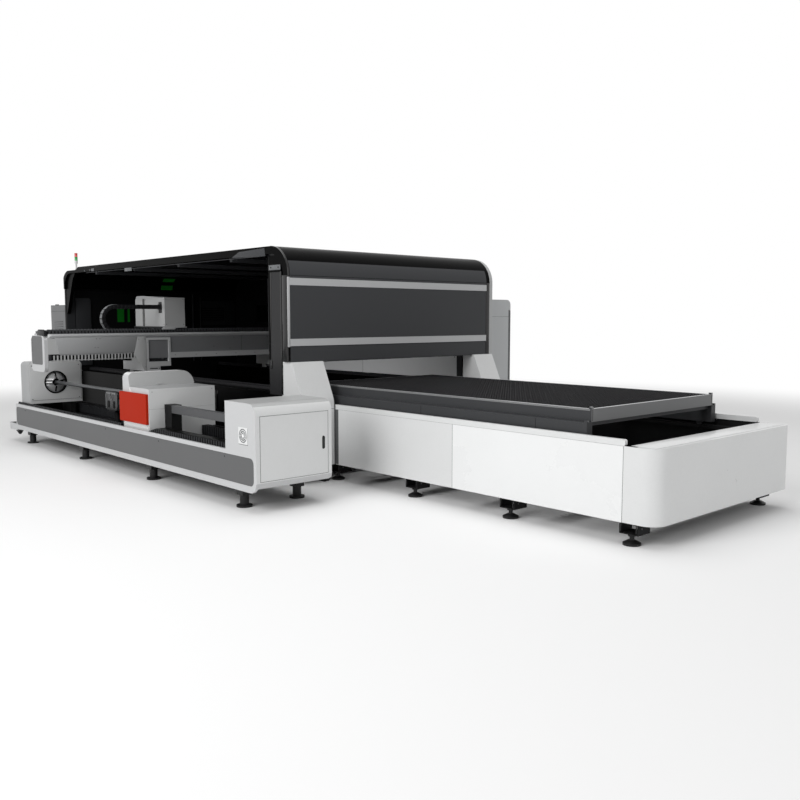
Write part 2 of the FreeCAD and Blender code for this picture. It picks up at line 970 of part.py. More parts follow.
def pallet_frame(x0, drop):
    """Slat tray on a wheeled chassis that is open at its front."""
    axle, chassis_top, tray_top = pallet_heights(drop)
    x1 = x0 + pallet_length
    ch = chassis_width / 2
    th = pallet_width / 2
    r = chassis_rail
    w = tray_wall
    p = corner_plate_width
    outer = box(x0, x1, y_mid - ch, y_mid + ch, axle, chassis_top)
    inner = box(x0 + r, x1, y_mid - ch + r, y_mid + ch - r, axle, chassis_top)
    tray = box(x0, x1, y_mid - th, y_mid + th, chassis_top, tray_top)
    well = box(x0 + w, x1 - w, y_mid - th + w, y_mid + th - w, chassis_top, tray_top)
    shapes = [outer.cut(inner), tray.cut(well)]
    for x in spread(x0 + r, x1 - r, cross_member_count):
        shapes.append(box(
            x - r / 2, x + r / 2, y_mid - ch + r, y_mid + ch - r, chassis_top - r / 2, chassis_top,
        ))
    corner = [
        box(x1 - p, x1, y_mid - th, y_mid - th + p, tray_top, tray_top + corner_plate_rise),
        box(x1 - p, x1, y_mid - ch, y_mid - ch + p, chassis_top, chassis_top + corner_plate_rise),
    ]
    for x in spread(x0 + 2 * r, x1 - 2 * r, pallet_wheel_count):
        corner.append(rod("y", (x, y_mid - ch, axle), pallet_wheel_radius, pallet_wheel_width))
    shapes += corner + [mirrored_y(piece) for piece in corner]
    return join(shapes)


def slat(x, tray_top):
    """One toothed slat standing across the tray."""
    half = pallet_width / 2 - tray_wall
    y0, y1 = y_mid - half, y_mid + half
    low = tray_top - slat_height
    root = tray_top - slat_tooth_depth
    corners = [(y0, low), (y1, low), (y1, root)]
    pitch = (y1 - y0) / slat_tooth_count
    for i in range(slat_tooth_count):
        right = y1 - i * pitch
        corners.append((right - pitch / 2, tray_top))
        corners.append((right - pitch, root))
    return prism(corners, "x", x - slat_thickness / 2, x + slat_thickness / 2)


def pallet_slats(x0, drop):
    tray_top = pallet_heights(drop)[2]
    first = x0 + tray_wall + slat_pitch
    last = x0 + pallet_length - tray_wall - slat_pitch
    return Part.makeCompound([slat(x, tray_top) for x in along(first, last, slat_pitch)])


def pallet_drive_shaft():
    """Cross shaft with two sprockets that drive the pallets."""
    x = x_front + drive_shaft_offset
    z = drive_shaft_height
    y0 = y_table + table_panel_sheet + touch
    shaft = rod("y", (x, y0, z), drive_shaft_radius, 2 * (y_mid - y0))
    y_wheel = y_frame_inner + ledge_width + drive_wheel_width
    wheel = rod("y", (x, y_wheel, z), drive_wheel_radius, drive_wheel_width)
    notch = pi * drive_wheel_radius / drive_wheel_teeth / 2
    for i in range(drive_wheel_teeth):
        turn = 2 * pi * i / drive_wheel_teeth
        centre = (x + drive_wheel_radius * cos(turn), y_wheel, z + drive_wheel_radius * sin(turn))
        wheel = wheel.cut(rod("y", centre, notch, drive_wheel_width))
    return join([shaft, wheel, mirrored_y(wheel)])


# ---------------------------------------------------------------------------
# Tube bed
# ---------------------------------------------------------------------------
def bed_trough():
    """Long channel whose end under the end box is rounded at the bottom."""
    x0, x1 = bed_rear, end_box_front
    y0, y1 = y_outer, y_bed_far
    w, rim = bed_wall, bed_rim_width
    outline = [
        (y0, bed_bottom), (y1, bed_bottom), (y1, bed_top), (y1 - rim, bed_top),
        (y1 - rim, bed_floor_height), (y0 + rim, bed_floor_height), (y0 + rim, bed_top), (y0, bed_top),
    ]
    side_outline = [(x0, bed_bottom), (x1, bed_bottom, end_box_low_radius), (x1, bed_top), (x0, bed_top)]
    trough = prism(outline, "x", x0, x1).common(prism(side_outline, "y", y0, y1))
    hollow = box(x0 + w, x1 - w, y0 + rim, y1 - rim, bed_bottom, bed_floor_height - w)
    skin = box(x1 - end_box_sheet, x1, y0, y1, bed_bottom + end_box_low_radius, bed_top)
    return trough.cut(hollow).cut(skin)


def tube_bed_frame():
    x0 = bed_rear
    y0, y1 = y_outer, y_bed_far
    w = bed_wall
    rear_plate = box(x0, x0 + w, y0, y1, bed_bottom, bed_top)
    shapes = [bed_trough(), rear_plate]
    tie_z = bed_bottom + w
    for x in spread(x0 + tie_margin, x_front - cowl_back - tie_margin, tie_count):
        shapes.append(box(x - tie_width / 2, x + tie_width / 2, y1, y_frame, tie_z, tie_z + tie_height))
    half = post_block_side / 2
    for x in {x for x, _ in bed_foot_places()}:
        shapes.append(box(x - half, x + half, y0, y1, bed_bottom, bed_bottom + w))
    y_arm = y0 + outrigger_inset
    shapes.append(box(
        x0 - outrigger_length, x0, y_arm, y_arm + outrigger_width, outrigger_bottom, outrigger_top,
    ))
    pocket = rounded_slab(
        "y", x0 + w, end_box_front - bed_panel_end_gap, bed_panel_bottom, bed_panel_top,
        y0, y0 + bed_panel_depth, bed_panel_radius,
    )
    column_way = rod(
        "z", (support_axis(), tube_y, bed_bottom), support_column_radius + support_column_clearance,
        bed_floor_height - bed_bottom,
    )
    return join(shapes).cut(pocket).cut(column_way)


def tube_bed_panel():
    return rounded_slab(
        "y", bed_rear + bed_wall, end_box_front - bed_panel_end_gap, bed_panel_bottom, bed_panel_top,
        y_outer + bed_panel_depth / 2, y_outer + bed_panel_depth, bed_panel_radius,
    )


def chuck_ways():
    x0, x1 = bed_rear + bed_wall + seam_gap, bed_front - seam_gap
    ways = []
    for side in (-1, 1):
        y = tube_y + side * way_half_span
        half = way_width / 2
        ways.append(box(x0, x1, y - half, y + half, bed_floor_height, bed_floor_height + way_height))
    return Part.makeCompound(ways)


def rack_guard(y0):
    x0, x1 = bed_rear + bed_wall + seam_gap, bed_front - seam_gap
    z0 = bed_floor_height
    crest = z0 + guard_base_height + guard_rib_height
    root = z0 + guard_base_height
    corners = [(x0, z0), (x0, root)]
    half = guard_rib_width / 2
    for x in along(x0 + guard_rib_pitch, x1 - guard_rib_pitch, guard_rib_pitch):
        corners += [(x - half, root), (x - half, crest), (x + half, crest), (x + half, root)]
    corners += [(x1, root), (x1, z0)]
    return prism(corners, "y", y0, y0 + guard_width)


def rack_guards():
    near = y_outer + bed_rim_width + touch
    far = y_bed_far - bed_rim_width - touch - guard_width
    return Part.makeCompound([rack_guard(near), rack_guard(far)])


# ---------------------------------------------------------------------------
# End box
# ---------------------------------------------------------------------------
def end_box_shell():
    x0, x1 = bed_front, end_box_front
    y0, y1 = y_outer, y_bed_far
    r, s = end_box_top_radius, end_box_sheet
    outline = [(x0, bed_top), (x1, bed_top), (x1, end_box_top, r), (x0, end_box_top)]
    inner_outline = [
        (x0 + s, bed_top), (x1 - s, bed_top), (x1 - s, end_box_top - s, r - s), (x0 + s, end_box_top - s),
    ]
    shell = prism(outline, "y", y0, y1).cut(prism(inner_outline, "y", y0 + s, y1 - s))
    apron = box(x1 - s, x1, y0, y1, bed_bottom + end_box_low_radius, bed_top)
    lug = box(
        x1 - s - door_lug_width, x1 - s, y0 + s, y0 + door_side_margin - touch, bed_top, door_top,
    )
    doorway = box(x1 - s, x1, y0 + door_side_margin, y1 - door_side_margin, door_bottom, door_top)
    half = fan_size / 2
    x, z = fan_place()
    vent = box(x - half, x + half, y0, y0 + s, z - half, z + half)
    return join([shell, apron, lug]).cut(doorway).cut(vent)


def fan_place():
    return end_box_front - fan_inset, fan_height


def end_box_door():
    """Door whose rounded edge turns about its hinge line."""
    x1 = end_box_front
    half = end_box_sheet / 2
    y0 = y_outer + door_side_margin + touch + door_hinge_gap + half
    y1 = y_bed_far - door_side_margin - touch
    z0, z1 = door_bottom + touch, door_top - touch
    w = door_side_margin
    panel = box(x1 - end_box_sheet, x1, y0, y1, z0, z1)
    edge = rod("z", (x1 - half, y0, z0), half, z1 - z0)
    back = box(x1 - door_thickness, x1 - end_box_sheet, y0 + w, y1 - w, bed_top + w, z1 - w)
    handle_y = y1 - w - handle_width
    z = (z0 + z1) / 2
    slot = box(x1 - handle_depth, x1, handle_y, handle_y + handle_width,
               z - handle_height / 2, z + handle_height / 2)
    return join([panel, edge, back]).cut(slot)


def fan_grille():
    x, z = fan_place()
    half = fan_size / 2
    y0 = y_outer
    y1 = y0 + fan_plate
    ring_width = fan_radius / (2 * fan_ring_count)
    plate = box(x - half, x + half, y0, y1, z - half, z + half)
    for i in range(fan_ring_count):
        outer = fan_radius - 2 * i * ring_width
        plate = plate.cut(tube("y", (x, y0, z), outer, outer - ring_width, fan_plate))
    across = box(x - half, x + half, y0, y1, z - ring_width / 2, z + ring_width / 2)
    upright = box(x - ring_width / 2, x + ring_width / 2, y0, y1, z - half, z + half)
    return join([plate, across, upright])


# ---------------------------------------------------------------------------
# Chucks, stock tube and support
# ---------------------------------------------------------------------------
def housing_slides(x0, x1, top, lift_off):
    """Two grooved shoes that carry a chuck housing on the bed ways."""
    shoes = []
    for side in (-1, 1):
        y = tube_y + side * way_half_span
        shoe = box(x0, x1, y - way_width, y + way_width, bed_floor_height + lift_off, top)
        groove = box(
            x0, x1, y - way_width / 2 - touch, y + way_width / 2 + touch,
            bed_floor_height, bed_floor_height + way_height + lift_off,
        )
        shoes.append(shoe.cut(groove))
    return shoes


def bearing_sleeve_rod(x0, x1):
    return rod("x", (x0, tube_y, tube_z), rotor_radius + rotor_clearance + bearing_sleeve, x1 - x0)


def bearing_bore(x0, x1):
    return rod("x", (x0, tube_y, tube_z), rotor_radius + rotor_clearance, x1 - x0)


def rear_chuck_housing():
    x0, x1 = rear_housing_back, rear_housing_front
    y0, y1 = housing_near, housing_near + housing_width
    z0, z1 = bed_top + housing_foot_gap, rear_housing_top
    r, w = housing_radius, housing_wall
    outer = prism([(y0, z0), (y1, z0), (y1, z1, r), (y0, z1, r)], "x", x0, x1)
    inner = prism(
        [(y0 + w, z0 + w), (y1 - w, z0 + w), (y1 - w, z1 - w, r - w), (y0 + w, z1 - w, r - w)],
        "x", x0 + w, x1 - w,
    )
    whole = join([outer.cut(inner), bearing_sleeve_rod(x0, x1)] + housing_slides(x0, x1, z0, touch))
    return whole.cut(bearing_bore(x0, x1))


def turned(shape, quarter):
    """The shape turned about the tube's axis to one of the jaw places."""
    placed = shape.copy()
    placed.rotate(V(0, tube_y, tube_z), V(1, 0, 0), 360.0 / jaw_count * quarter)
    return placed


def rear_chuck_rotor():
    """Ring with guide bosses that lead the jaws towards the tube."""
    x0, x1 = rear_rotor_span()
    front = rear_jaw_front()
    c = jaw_slot_clearance
    half = jaw_width / 2
    boss_half = half + boss_side_wall
    ring = tube("x", (x0, tube_y, tube_z), rotor_radius, rotor_bore, x1 - x0)
    boss = box(
        front - jaw_length - boss_end_wall, front + boss_end_wall, tube_y - boss_half, tube_y + boss_half,
        tube_z + rotor_bore - boss_depth, tube_z + rotor_bore + boss_sink,
    )
    slot = box(
        front - jaw_length - c, front + c, tube_y - half - c, tube_y + half + c,
        tube_z + tube_radius, tube_z + jaw_outer_radius() + jaw_travel + touch,
    )
    rotor = join([ring] + [turned(boss, i) for i in range(jaw_count)])
    for i in range(jaw_count):
        rotor = rotor.cut(turned(slot, i))
    return rotor


def rear_jaw_front():
    return rear_rotor_span()[1] - jaw_front_offset


def jaw_outer_radius():
    return tube_radius + jaw_clearance + jaw_height


def rear_jaw(quarter):
    """Jaw that grips the tube at the rest position."""
    front = rear_jaw_front()
    half = jaw_width / 2
    body = box(
        front - jaw_length, front, tube_y - half, tube_y + half,
        tube_z + tube_radius + jaw_clearance, tube_z + jaw_outer_radius(),
    )
    return turned(body, quarter)


def rear_rotor_span():
    return rear_housing_back + touch, rear_housing_front - rotor_front_recess


def front_rotor_span():
    return front_chuck_back + touch, front_chuck_back + front_chuck_depth - touch


def front_chuck_rotor():
    """Ring with fixed guide jaws that hold the tube in line."""
    x0, x1 = front_rotor_span()
    half = jaw_width / 2
    ring = tube("x", (x0, tube_y, tube_z), rotor_radius, rotor_bore, x1 - x0)
    guide = box(
        x0 + jaw_length / 2, x0 + jaw_length * 3 / 2, tube_y - half, tube_y + half,
        tube_z + tube_radius, tube_z + rotor_bore + boss_sink,
    )
    bore = rod("x", (x0, tube_y, tube_z), tube_radius, x1 - x0)
    return join([ring] + [turned(guide, i) for i in range(jaw_count)]).cut(bore)


def stock_tube():
    x0 = rear_housing_back - tube_rear_overrun
    x1 = front_chuck_back + front_chuck_depth + tube_front_overrun
    return tube("x", (x0, tube_y, tube_z), tube_radius, tube_radius - tube_wall, x1 - x0)


def front_chuck_housing():
    """Tall leaning gearbox with a lower drive box in front of it."""
    x0 = front_chuck_back
    x1 = x0 + front_chuck_depth
    x2 = front_box_front
    y0, y1 = housing_near, housing_near + front_chuck_width
    z0 = bed_floor_height + way_height + touch
    w, r = housing_wall, front_chuck_radius
    tall = prism(
        [(y0, z0), (y1, z0), (y1, front_chuck_top, r), (y0, front_chuck_top, r / 2)], "x", x0, x1,
    )
    lean = prism(
        [
            (x1 - front_chuck_lean, front_chuck_top), (x1 - front_chuck_lean, front_chuck_top + w),
            (x1, front_chuck_top + w), (x1, front_box_top),
        ],
        "y", y0, y1,
    )
    tall_hollow = prism(
        [(y0 + w, z0 + w), (y1 - w, z0 + w), (y1 - w, front_box_top, w), (y0 + w, front_box_top, w)],
        "x", x0 + w, x1,
    )
    low_box = box(x1, x2, y0, y1, z0, front_box_top)
    low_hollow = box(x1, x2 - w, y0 + w, y1 - w, z0 + w, front_box_top - w)
    shell = [tall.cut(lean).cut(tall_hollow), low_box.cut(low_hollow), bearing_sleeve_rod(x0, x1)]
    whole = join(shell + housing_slides(x0, x2, z0, 0.0))
    rim_space = box(x0, x2, y_bed_far - bed_rim_width - touch, y1, z0, bed_top + touch)
    far_guard = box(x0, x2, guard_far_edge - touch, y1, bed_floor_height, guard_top + touch)
    near_guard = box(x0, x2, y0, guard_near_edge + touch, bed_floor_height, guard_top + touch)
    return whole.cut(bearing_bore(x0, x1)).cut(rim_space).cut(far_guard).cut(near_guard)


def front_chuck_side_panel():
    x0 = front_chuck_back - red_panel_overhang
    return rounded_slab(
        "y", x0, x0 + red_panel_length, red_panel_bottom, red_panel_top,
        housing_near - red_panel_thickness, housing_near, red_panel_radius,
    )


def support_axis():
    return x_front - support_offset


def tube_support():
    """Roller between two rounded plates that stand on a lift column."""
    xc = support_axis()
    roller_z = tube_z - tube_radius - support_roller_clearance - support_roller_radius
    top = roller_z + support_roller_radius + support_top_margin
    half = support_length / 2
    base_half = support_base_length / 2
    roller_half = support_roller_length / 2
    p = support_plate
    near, far = tube_y - roller_half - p, tube_y + roller_half
    r = support_plate_radius
    base_z = support_bottom - p
    foot_z = bed_floor_height - support_column_depth
    return join([
        rounded_slab("y", xc - half, xc + half, support_bottom, top, near, near + p, r),
        rounded_slab("y", xc - half, xc + half, support_bottom, top, far, far + p, r),
        box(xc - base_half, xc + base_half, near, far + p, base_z, support_bottom),
        rod("y", (xc, tube_y - roller_half, roller_z), support_roller_radius, support_roller_length),
        rod("z", (xc, tube_y, foot_z), support_column_radius, base_z - foot_z),
    ])


def unloading_bar():
    """Channel that leads cut tubes from the front chuck to the end box."""
    x0, x1 = front_box_front, bed_front
    y0 = y_outer + bar_inset
    y1 = y0 + bar_width
    z0, z1 = bar_top - bar_height, bar_top
    w = bar_wall
    x_post = x0 + bar_post_length
    y_post = y0 + bar_post_width
    channel = box(x0, x1, y0, y1, z0, z1).cut(box(x0 + w, x1, y0 + w, y1 - w, z0 + w, z1 - w))
    post = box(x0, x_post, y0, y_post, guard_top + touch, z1)
    leg_y = max(y0, guard_near_edge + touch)
    leg = box(x0, x_post, leg_y, y_post, bed_floor_height, guard_top + touch)
    return join([channel, post, leg])


# ---------------------------------------------------------------------------
# Gantry
# ---------------------------------------------------------------------------
def carriage_near_edge():
    return y_mid - rail_half_span - carriage_inner_half


def beam_far_edge():
    return 2 * y_mid - carriage_near_edge()


def gantry_beam():
    """Cross beam: deep box over the cell, shallower box reaching over the tube bed."""
    x0, x1 = beam_rear, beam_front
    y0, y1 = y_outer + end_cap_thickness, beam_far_edge()
    edge = carriage_near_edge()
    w = beam_wall
    z1 = beam_top - beam_plate_thickness
    z_nose = z1 + beam_plate_thickness / 2
    x2 = x1 + beam_plate_overhang
    plate = prism(
        [(x0, z_nose), (x0, beam_top), (x2, beam_top), (x2, z_nose), (x1, z1), (x0, z1)], "y", y0, y1,
    )
    plan = prism(
        [(x0, y0), (x2, y0, beam_plate_radius), (x2, y1), (x0, y1)], "z", z1, beam_top,
    )
    outboard = box(x0, x1, y0, edge, cover_bottom, z1)
    outboard_hollow = box(x0 + w, x1 - w, y0, edge, cover_bottom + w, z1)
    inboard = box(x0, x1, edge, y1, beam_bottom, z1)
    inboard_hollow = box(x0 + w, x1 - w, edge + w, y1 - w, beam_bottom + w, z1)
    flange = box(x1, x1 + beam_flange_depth, edge + carriage_width, y1,
                 beam_bottom, beam_bottom + beam_flange_height)
    shapes = [
        plate.common(plan), outboard.cut(outboard_hollow), inboard.cut(inboard_hollow), flange,
    ]
    half = cross_rail_width / 2
    for x in cross_rail_places():
        shapes.append(box(x - half, x + half, y0, y1, beam_top, beam_top + cross_rail_height))
    return join(shapes)


def cross_rail_places():
    first = beam_rear + cross_rail_rear_inset
    return first, first + cross_rail_spacing


def beam_cover():
    """Folded tray under the outboard beam with its ribbed bellows strip."""
    x1 = beam_front + cover_proud
    cap_side = y_outer + end_cap_thickness
    y0, y1 = cap_side + 2 * cover_slant, carriage_near_edge()
    z0, z1 = cover_bottom, beam_top - beam_plate_thickness
    sheet = prism([(y0, z1), (y0 + cover_slant, z0), (y1 - cover_slant, z0), (y1, z1)], "x", beam_front, x1)
    strip_y0, strip_y1 = cap_side + touch, y1 - cover_slant
    low = lower_bellows_bottom
    high = low + lower_bellows_fold
    points = [(strip_y0, z0)]
    folds = along(strip_y0, strip_y1, lower_bellows_pitch)
    for left, right in zip(folds, folds[1:]):
        quarter = (right - left) / 4
        points += [(left, high), (left + quarter, low), (right - quarter, low)]
    points += [(strip_y1, high), (strip_y1, z0)]
    bellows = prism(points, "x", beam_front - lower_bellows_depth, x1)
    return join([sheet, bellows])


def beam_end_cap():
    x0, x1 = beam_rear, beam_front
    y0, y1 = y_outer, y_outer + end_cap_thickness
    m = inset_margin
    outer = rounded_slab("y", x0, x1, end_cap_bottom, end_cap_top, y0, y1, end_cap_radius)
    inset = rounded_slab(
        "y", x0 + m, x1 - inset_front_margin, end_cap_bottom + inset_bottom_margin, end_cap_top - m,
        y0, y0 + end_cap_inset, inset_radius,
    )
    return outer.cut(inset)


def carriage_body():
    """Side block on the rail with a recessed window in its front face."""
    x0 = beam_rear - carriage_rear_extra
    x1 = beam_front + beam_flange_depth
    y0 = carriage_near_edge()
    y1 = y0 + carriage_width
    m = carriage_window_margin
    wide = box(beam_rear, x1, y0, y1, carriage_bottom, beam_bottom)
    tail = box(x0, beam_rear, y0, y1, carriage_bottom, carriage_rear_top)
    face = box(beam_front, x1, y0, y1, carriage_bottom, carriage_top)
    pallet_edge = y_mid - chassis_width / 2 - seam_gap
    step = box(x0, x1, pallet_edge, y1, carriage_bottom, carriage_step_height)
    window = box(x1 - carriage_window_depth, x1, y0 + m, y1 - m, carriage_window_bottom, carriage_top - m)
    return join([wide, tail, face]).cut(step).cut(window)


def slider(x, y):
    """Block that rides on a gantry rail, clear of the rack beside it."""
    half = slider_length / 2
    half_rail = rail_width / 2
    c = carriage_clearance
    outer_half = half_rail + slider_wall
    block = box(
        x - half, x + half, y - outer_half, y + outer_half,
        frame_beam_top + rail_height - slider_lap, carriage_bottom,
    )
    groove = box(
        x - half, x + half, y - half_rail - c, y + half_rail + c,
        frame_beam_top, frame_beam_top + rail_height + c,
    )
    rack_space = box(
        x - half, x + half, y - outer_half, y - half_rail + touch,
        frame_beam_top, frame_beam_top + rack_height + touch,
    )
    return block.cut(groove).cut(rack_space)


def near_sliders():
    y = y_mid - rail_half_span
    first = beam_rear - carriage_rear_extra + slider_length
    return [slider(x, y) for x in (first, beam_front - slider_length)]


def near_gantry_carriage():
    return join([carriage_body()] + near_sliders())


def far_gantry_carriage():
    inner_edge = y_mid + rail_half_span - carriage_inner_half
    body = box(
        beam_rear - carriage_rear_extra, beam_front, inner_edge, beam_far_edge(),
        carriage_bottom, beam_bottom,
    )
    return join([body] + [mirrored_y(block) for block in near_sliders()])


def beam_cable_chain():
    """Ribbed chain lying along the front edge of the beam's top."""
    x1 = beam_front
    x0 = x1 - chain_width
    y0 = y_outer + end_cap_thickness
    y1 = beam_far_edge()
    z0 = beam_top
    crest = z0 + chain_height
    root = crest - chain_cover_depth
    points = [(y0, z0), (y0, root)]
    half = (chain_link_pitch - chain_link_gap) / 2
    for y in along(y0 + chain_link_pitch, y1 - chain_link_pitch, chain_link_pitch):
        points += [(y - half, root), (y - half, crest), (y + half, crest), (y + half, root)]
    points += [(y1, root), (y1, z0)]
    return prism(points, "x", x0, x1)


def head_box_span():
    x1 = beam_front
    x0 = x1 - head_box_length
    y0 = head_y - head_box_width / 2
    return x0, x1, y0, y0 + head_box_width


def head_slide_plate():
    """Cross slide: top plate with two shoes and the hanging rear plate."""
    x0, x1, y0, y1 = head_box_span()
    m = slide_plate_margin
    z0 = beam_top + chain_height + slide_plate_lift
    shapes = [box(x0, x1, y0 - m, y1 + m, z0, head_box_bottom)]
    half = cross_rail_width / 2
    for x in cross_rail_places():
        shoe = box(x - 2 * half, x + 2 * half, y0, y1, beam_top + touch, z0)
        groove = box(
            x - half - touch, x + half + touch, y0, y1, beam_top, beam_top + cross_rail_height + touch,
        )
        shapes.append(shoe.cut(groove))
    hang_x1 = beam_rear - head_plate_gap
    shapes.append(box(
        hang_x1 - head_plate_thickness, hang_x1, head_y - head_body_side, head_y + head_body_side,
        beam_bottom + head_plate_lift, z0,
    ))
    half = head_body_side / 2 + head_bay_gap
    axis = head_axis()
    bay = box(axis - half, hang_x1 - head_plate_thickness, head_y - half, head_y + half, z0, head_box_bottom)
    return join(shapes).cut(bay)


def head_box():
    x0, x1, y0, y1 = head_box_span()
    z0, z1 = head_box_bottom, head_box_top
    r, s = head_box_radius, head_box_sheet
    outer = prism([(x0, z0), (x1, z0), (x1, z1), (x0, z1, r)], "y", y0, y1)
    inner = prism(
        [(x0 + s, z0), (x1 - s, z0), (x1 - s, z1 - s), (x0 + s, z1 - s, r - s)], "y", y0 + s, y1 - s,
    )
    slot_x = x0 + head_box_slot_inset
    slot = box(
        slot_x, slot_x + head_box_slot_width, y0, y0 + s / 2, z0, z1 - head_box_slot_margin,
    )
    return outer.cut(inner).cut(slot)


def head_axis():
    return beam_rear - head_plate_gap - head_plate_thickness - head_axis_gap


def cutting_head():
    """Nozzle, collar and body on a slide against the hanging plate."""
    x, y, z = head_axis(), head_y, nozzle_tip_height
    half = head_body_side / 2
    collar_z = z + nozzle_cone_height
    body_z = collar_z + nozzle_collar_height
    plate_x = beam_rear - head_plate_gap - head_plate_thickness - touch
    tip = Part.makeCone(nozzle_radius, nozzle_collar_radius, nozzle_cone_height, V(x, y, z))
    collar = rod("z", (x, y, collar_z), nozzle_collar_radius, nozzle_collar_height)
    body = rounded_slab(
        "z", x - half, x + half, y - half, y + half, body_z, body_z + head_body_length, head_body_radius,
    )
    slide_z = body_z + head_slide_start
    slide = box(x + half, plate_x, y - half, y + half, slide_z, slide_z + head_slide_length)
    bore = rod("z", (x, y, z), nozzle_bore_radius, nozzle_cone_height)
    return join([tip, collar, body, slide]).cut(bore)


def head_chain_loop():
    """Drag chain: lower run on the beam, one bend, upper run to the head box."""
    x1 = beam_front - chain_width - loop_beam_gap
    x0 = x1 - chain_width
    box_y0 = head_box_span()[2]
    y = box_y0 - loop_lead
    z = beam_top + loop_radius
    top = beam_top + 2 * loop_radius
    bend = tube("x", (x0, y, z), loop_radius, loop_radius - chain_height, chain_width)
    bend = bend.cut(box(x0, x1, y, y + loop_radius, beam_top, top))
    lower = box(x0, x1, y, y + loop_lower_run, beam_top, beam_top + chain_height)
    upper = box(x0, x1, y, box_y0, top - chain_height, top)
    chain = join([bend, lower, upper])
    d, half = chain_cover_depth, loop_link_gap / 2
    groove = box(x0, x1, y + loop_radius - d, y + loop_radius + d, z - half, z + half)
    for i in range(loop_link_count):
        cutter = groove.copy()
        cutter.rotate(V(0, y, z), V(1, 0, 0), 90.0 + 180.0 * (i + 0.5) / loop_link_count)
        chain = chain.cut(cutter)
    for place in along(y + loop_link_pitch, box_y0 - loop_link_pitch, loop_link_pitch):
        chain = chain.cut(box(x0, x1, place - half, place + half, top - d, top))
    low_top = beam_top + chain_height
    for place in along(y + loop_link_pitch, y + loop_lower_run - loop_link_pitch, loop_link_pitch):
        chain = chain.cut(box(x0, x1, place - half, place + half, low_top - d, low_top))
    return chain


# ---------------------------------------------------------------------------
# Cabinets and signal tower
# ---------------------------------------------------------------------------
def cabinet_span():
    x1 = x_front - cabinet_front_offset
    y0 = y_far + far_side + cabinet_gap
    return x1 - cabinet_length, x1, y0, y0 + cabinet_depth


def electrical_cabinet():
    x0, x1, y0, y1 = cabinet_span()
    r, s, m = cabinet_radius, cabinet_sheet, cabinet_door_margin
    outer = prism([(y0, 0), (y1, 0), (y1, cabinet_top, r), (y0, cabinet_top, r)], "x", x0, x1)
    inner = box(x0 + s, x1 - s, y0 + s, y1 - s, cabinet_plinth, cabinet_seam)
    doorway = box(
        x0 + m, x1 - m, y1 - cabinet_door_thickness, y1, cabinet_plinth + m, cabinet_seam - m,
    )
    tie = box(
        x0 + cabinet_tie_inset, x1 - cabinet_tie_inset, y_far + far_side, y0,
        far_wall_bottom, far_wall_bottom + wall_thickness,
    )
    return join([outer.cut(inner).cut(doorway), tie])


def electrical_cabinet_door():
    """Door whose rounded edge turns about its hinge line."""
    x0, x1, _, y1 = cabinet_span()
    m = cabinet_door_margin + touch
    fold = cabinet_door_fold
    half = cabinet_door_sheet / 2
    x_hinge = x1 - m - door_hinge_gap - half
    y_sheet = y1 - cabinet_door_sheet
    z0, z1 = cabinet_plinth + m, cabinet_seam - m
    panel = box(x0 + m, x_hinge, y_sheet, y1, z0, z1)
    edge = rod("z", (x_hinge, y1 - half, z0), half, z1 - z0)
    stiffener = box(
        x0 + m + fold, x1 - m - fold, y1 - cabinet_door_thickness, y_sheet, z0 + fold, z1 - fold,
    )
    grip_x = x0 + m + fold / 2
    z = (z0 + z1) / 2
    recess = box(
        grip_x, grip_x + handle_width, y_sheet + cabinet_door_sheet / 2, y1,
        z - handle_height / 2, z + handle_height / 2,
    )
    return join([panel, edge, stiffener]).cut(recess)


def laser_cabinet():
    x0, x1 = x_min, x_min + laser_cabinet_depth
    y0, y1 = y_near, y_near + laser_cabinet_width
    s = cabinet_sheet
    outer = box(x0, x1, y0, y1, 0, laser_cabinet_top)
    inner = box(x0 + s, x1 - s, y0 + s, y1 - s, cabinet_plinth, laser_cabinet_top - s)
    duct = box(
        x1, x_rear, y_frame_inner, y_frame_inner + duct_side, frame_beam_top, frame_beam_top + duct_side,
    )
    return join([outer.cut(inner), duct])


def tower_centre():
    return x_rear + tower_offset, y_near + tower_inset


def signal_stem():
    x, y = tower_centre()
    base = roof_rear_height
    top = base + tower_height - 2 * tower_lens_height
    flange = rod("z", (x, y, base), tower_stem_radius * 2, tower_flange_height)
    stem = rod("z", (x, y, base), tower_stem_radius, top - base)
    collar = rod("z", (x, y, top - tower_collar_height), tower_lens_radius, tower_collar_height)
    return join([flange, stem, collar])


def signal_lens(z0):
    x, y = tower_centre()
    body = rod("z", (x, y, z0), tower_lens_radius - tower_lens_waist, tower_lens_height)
    ring = rod("z", (x, y, z0), tower_lens_radius, tower_ring_height)
    return join([body, ring])


def signal_lenses():
    red_z = roof_rear_height + tower_height - tower_lens_height
    green_z = red_z - tower_lens_height
    return Part.makeCompound([signal_lens(green_z), signal_lens(red_z)])


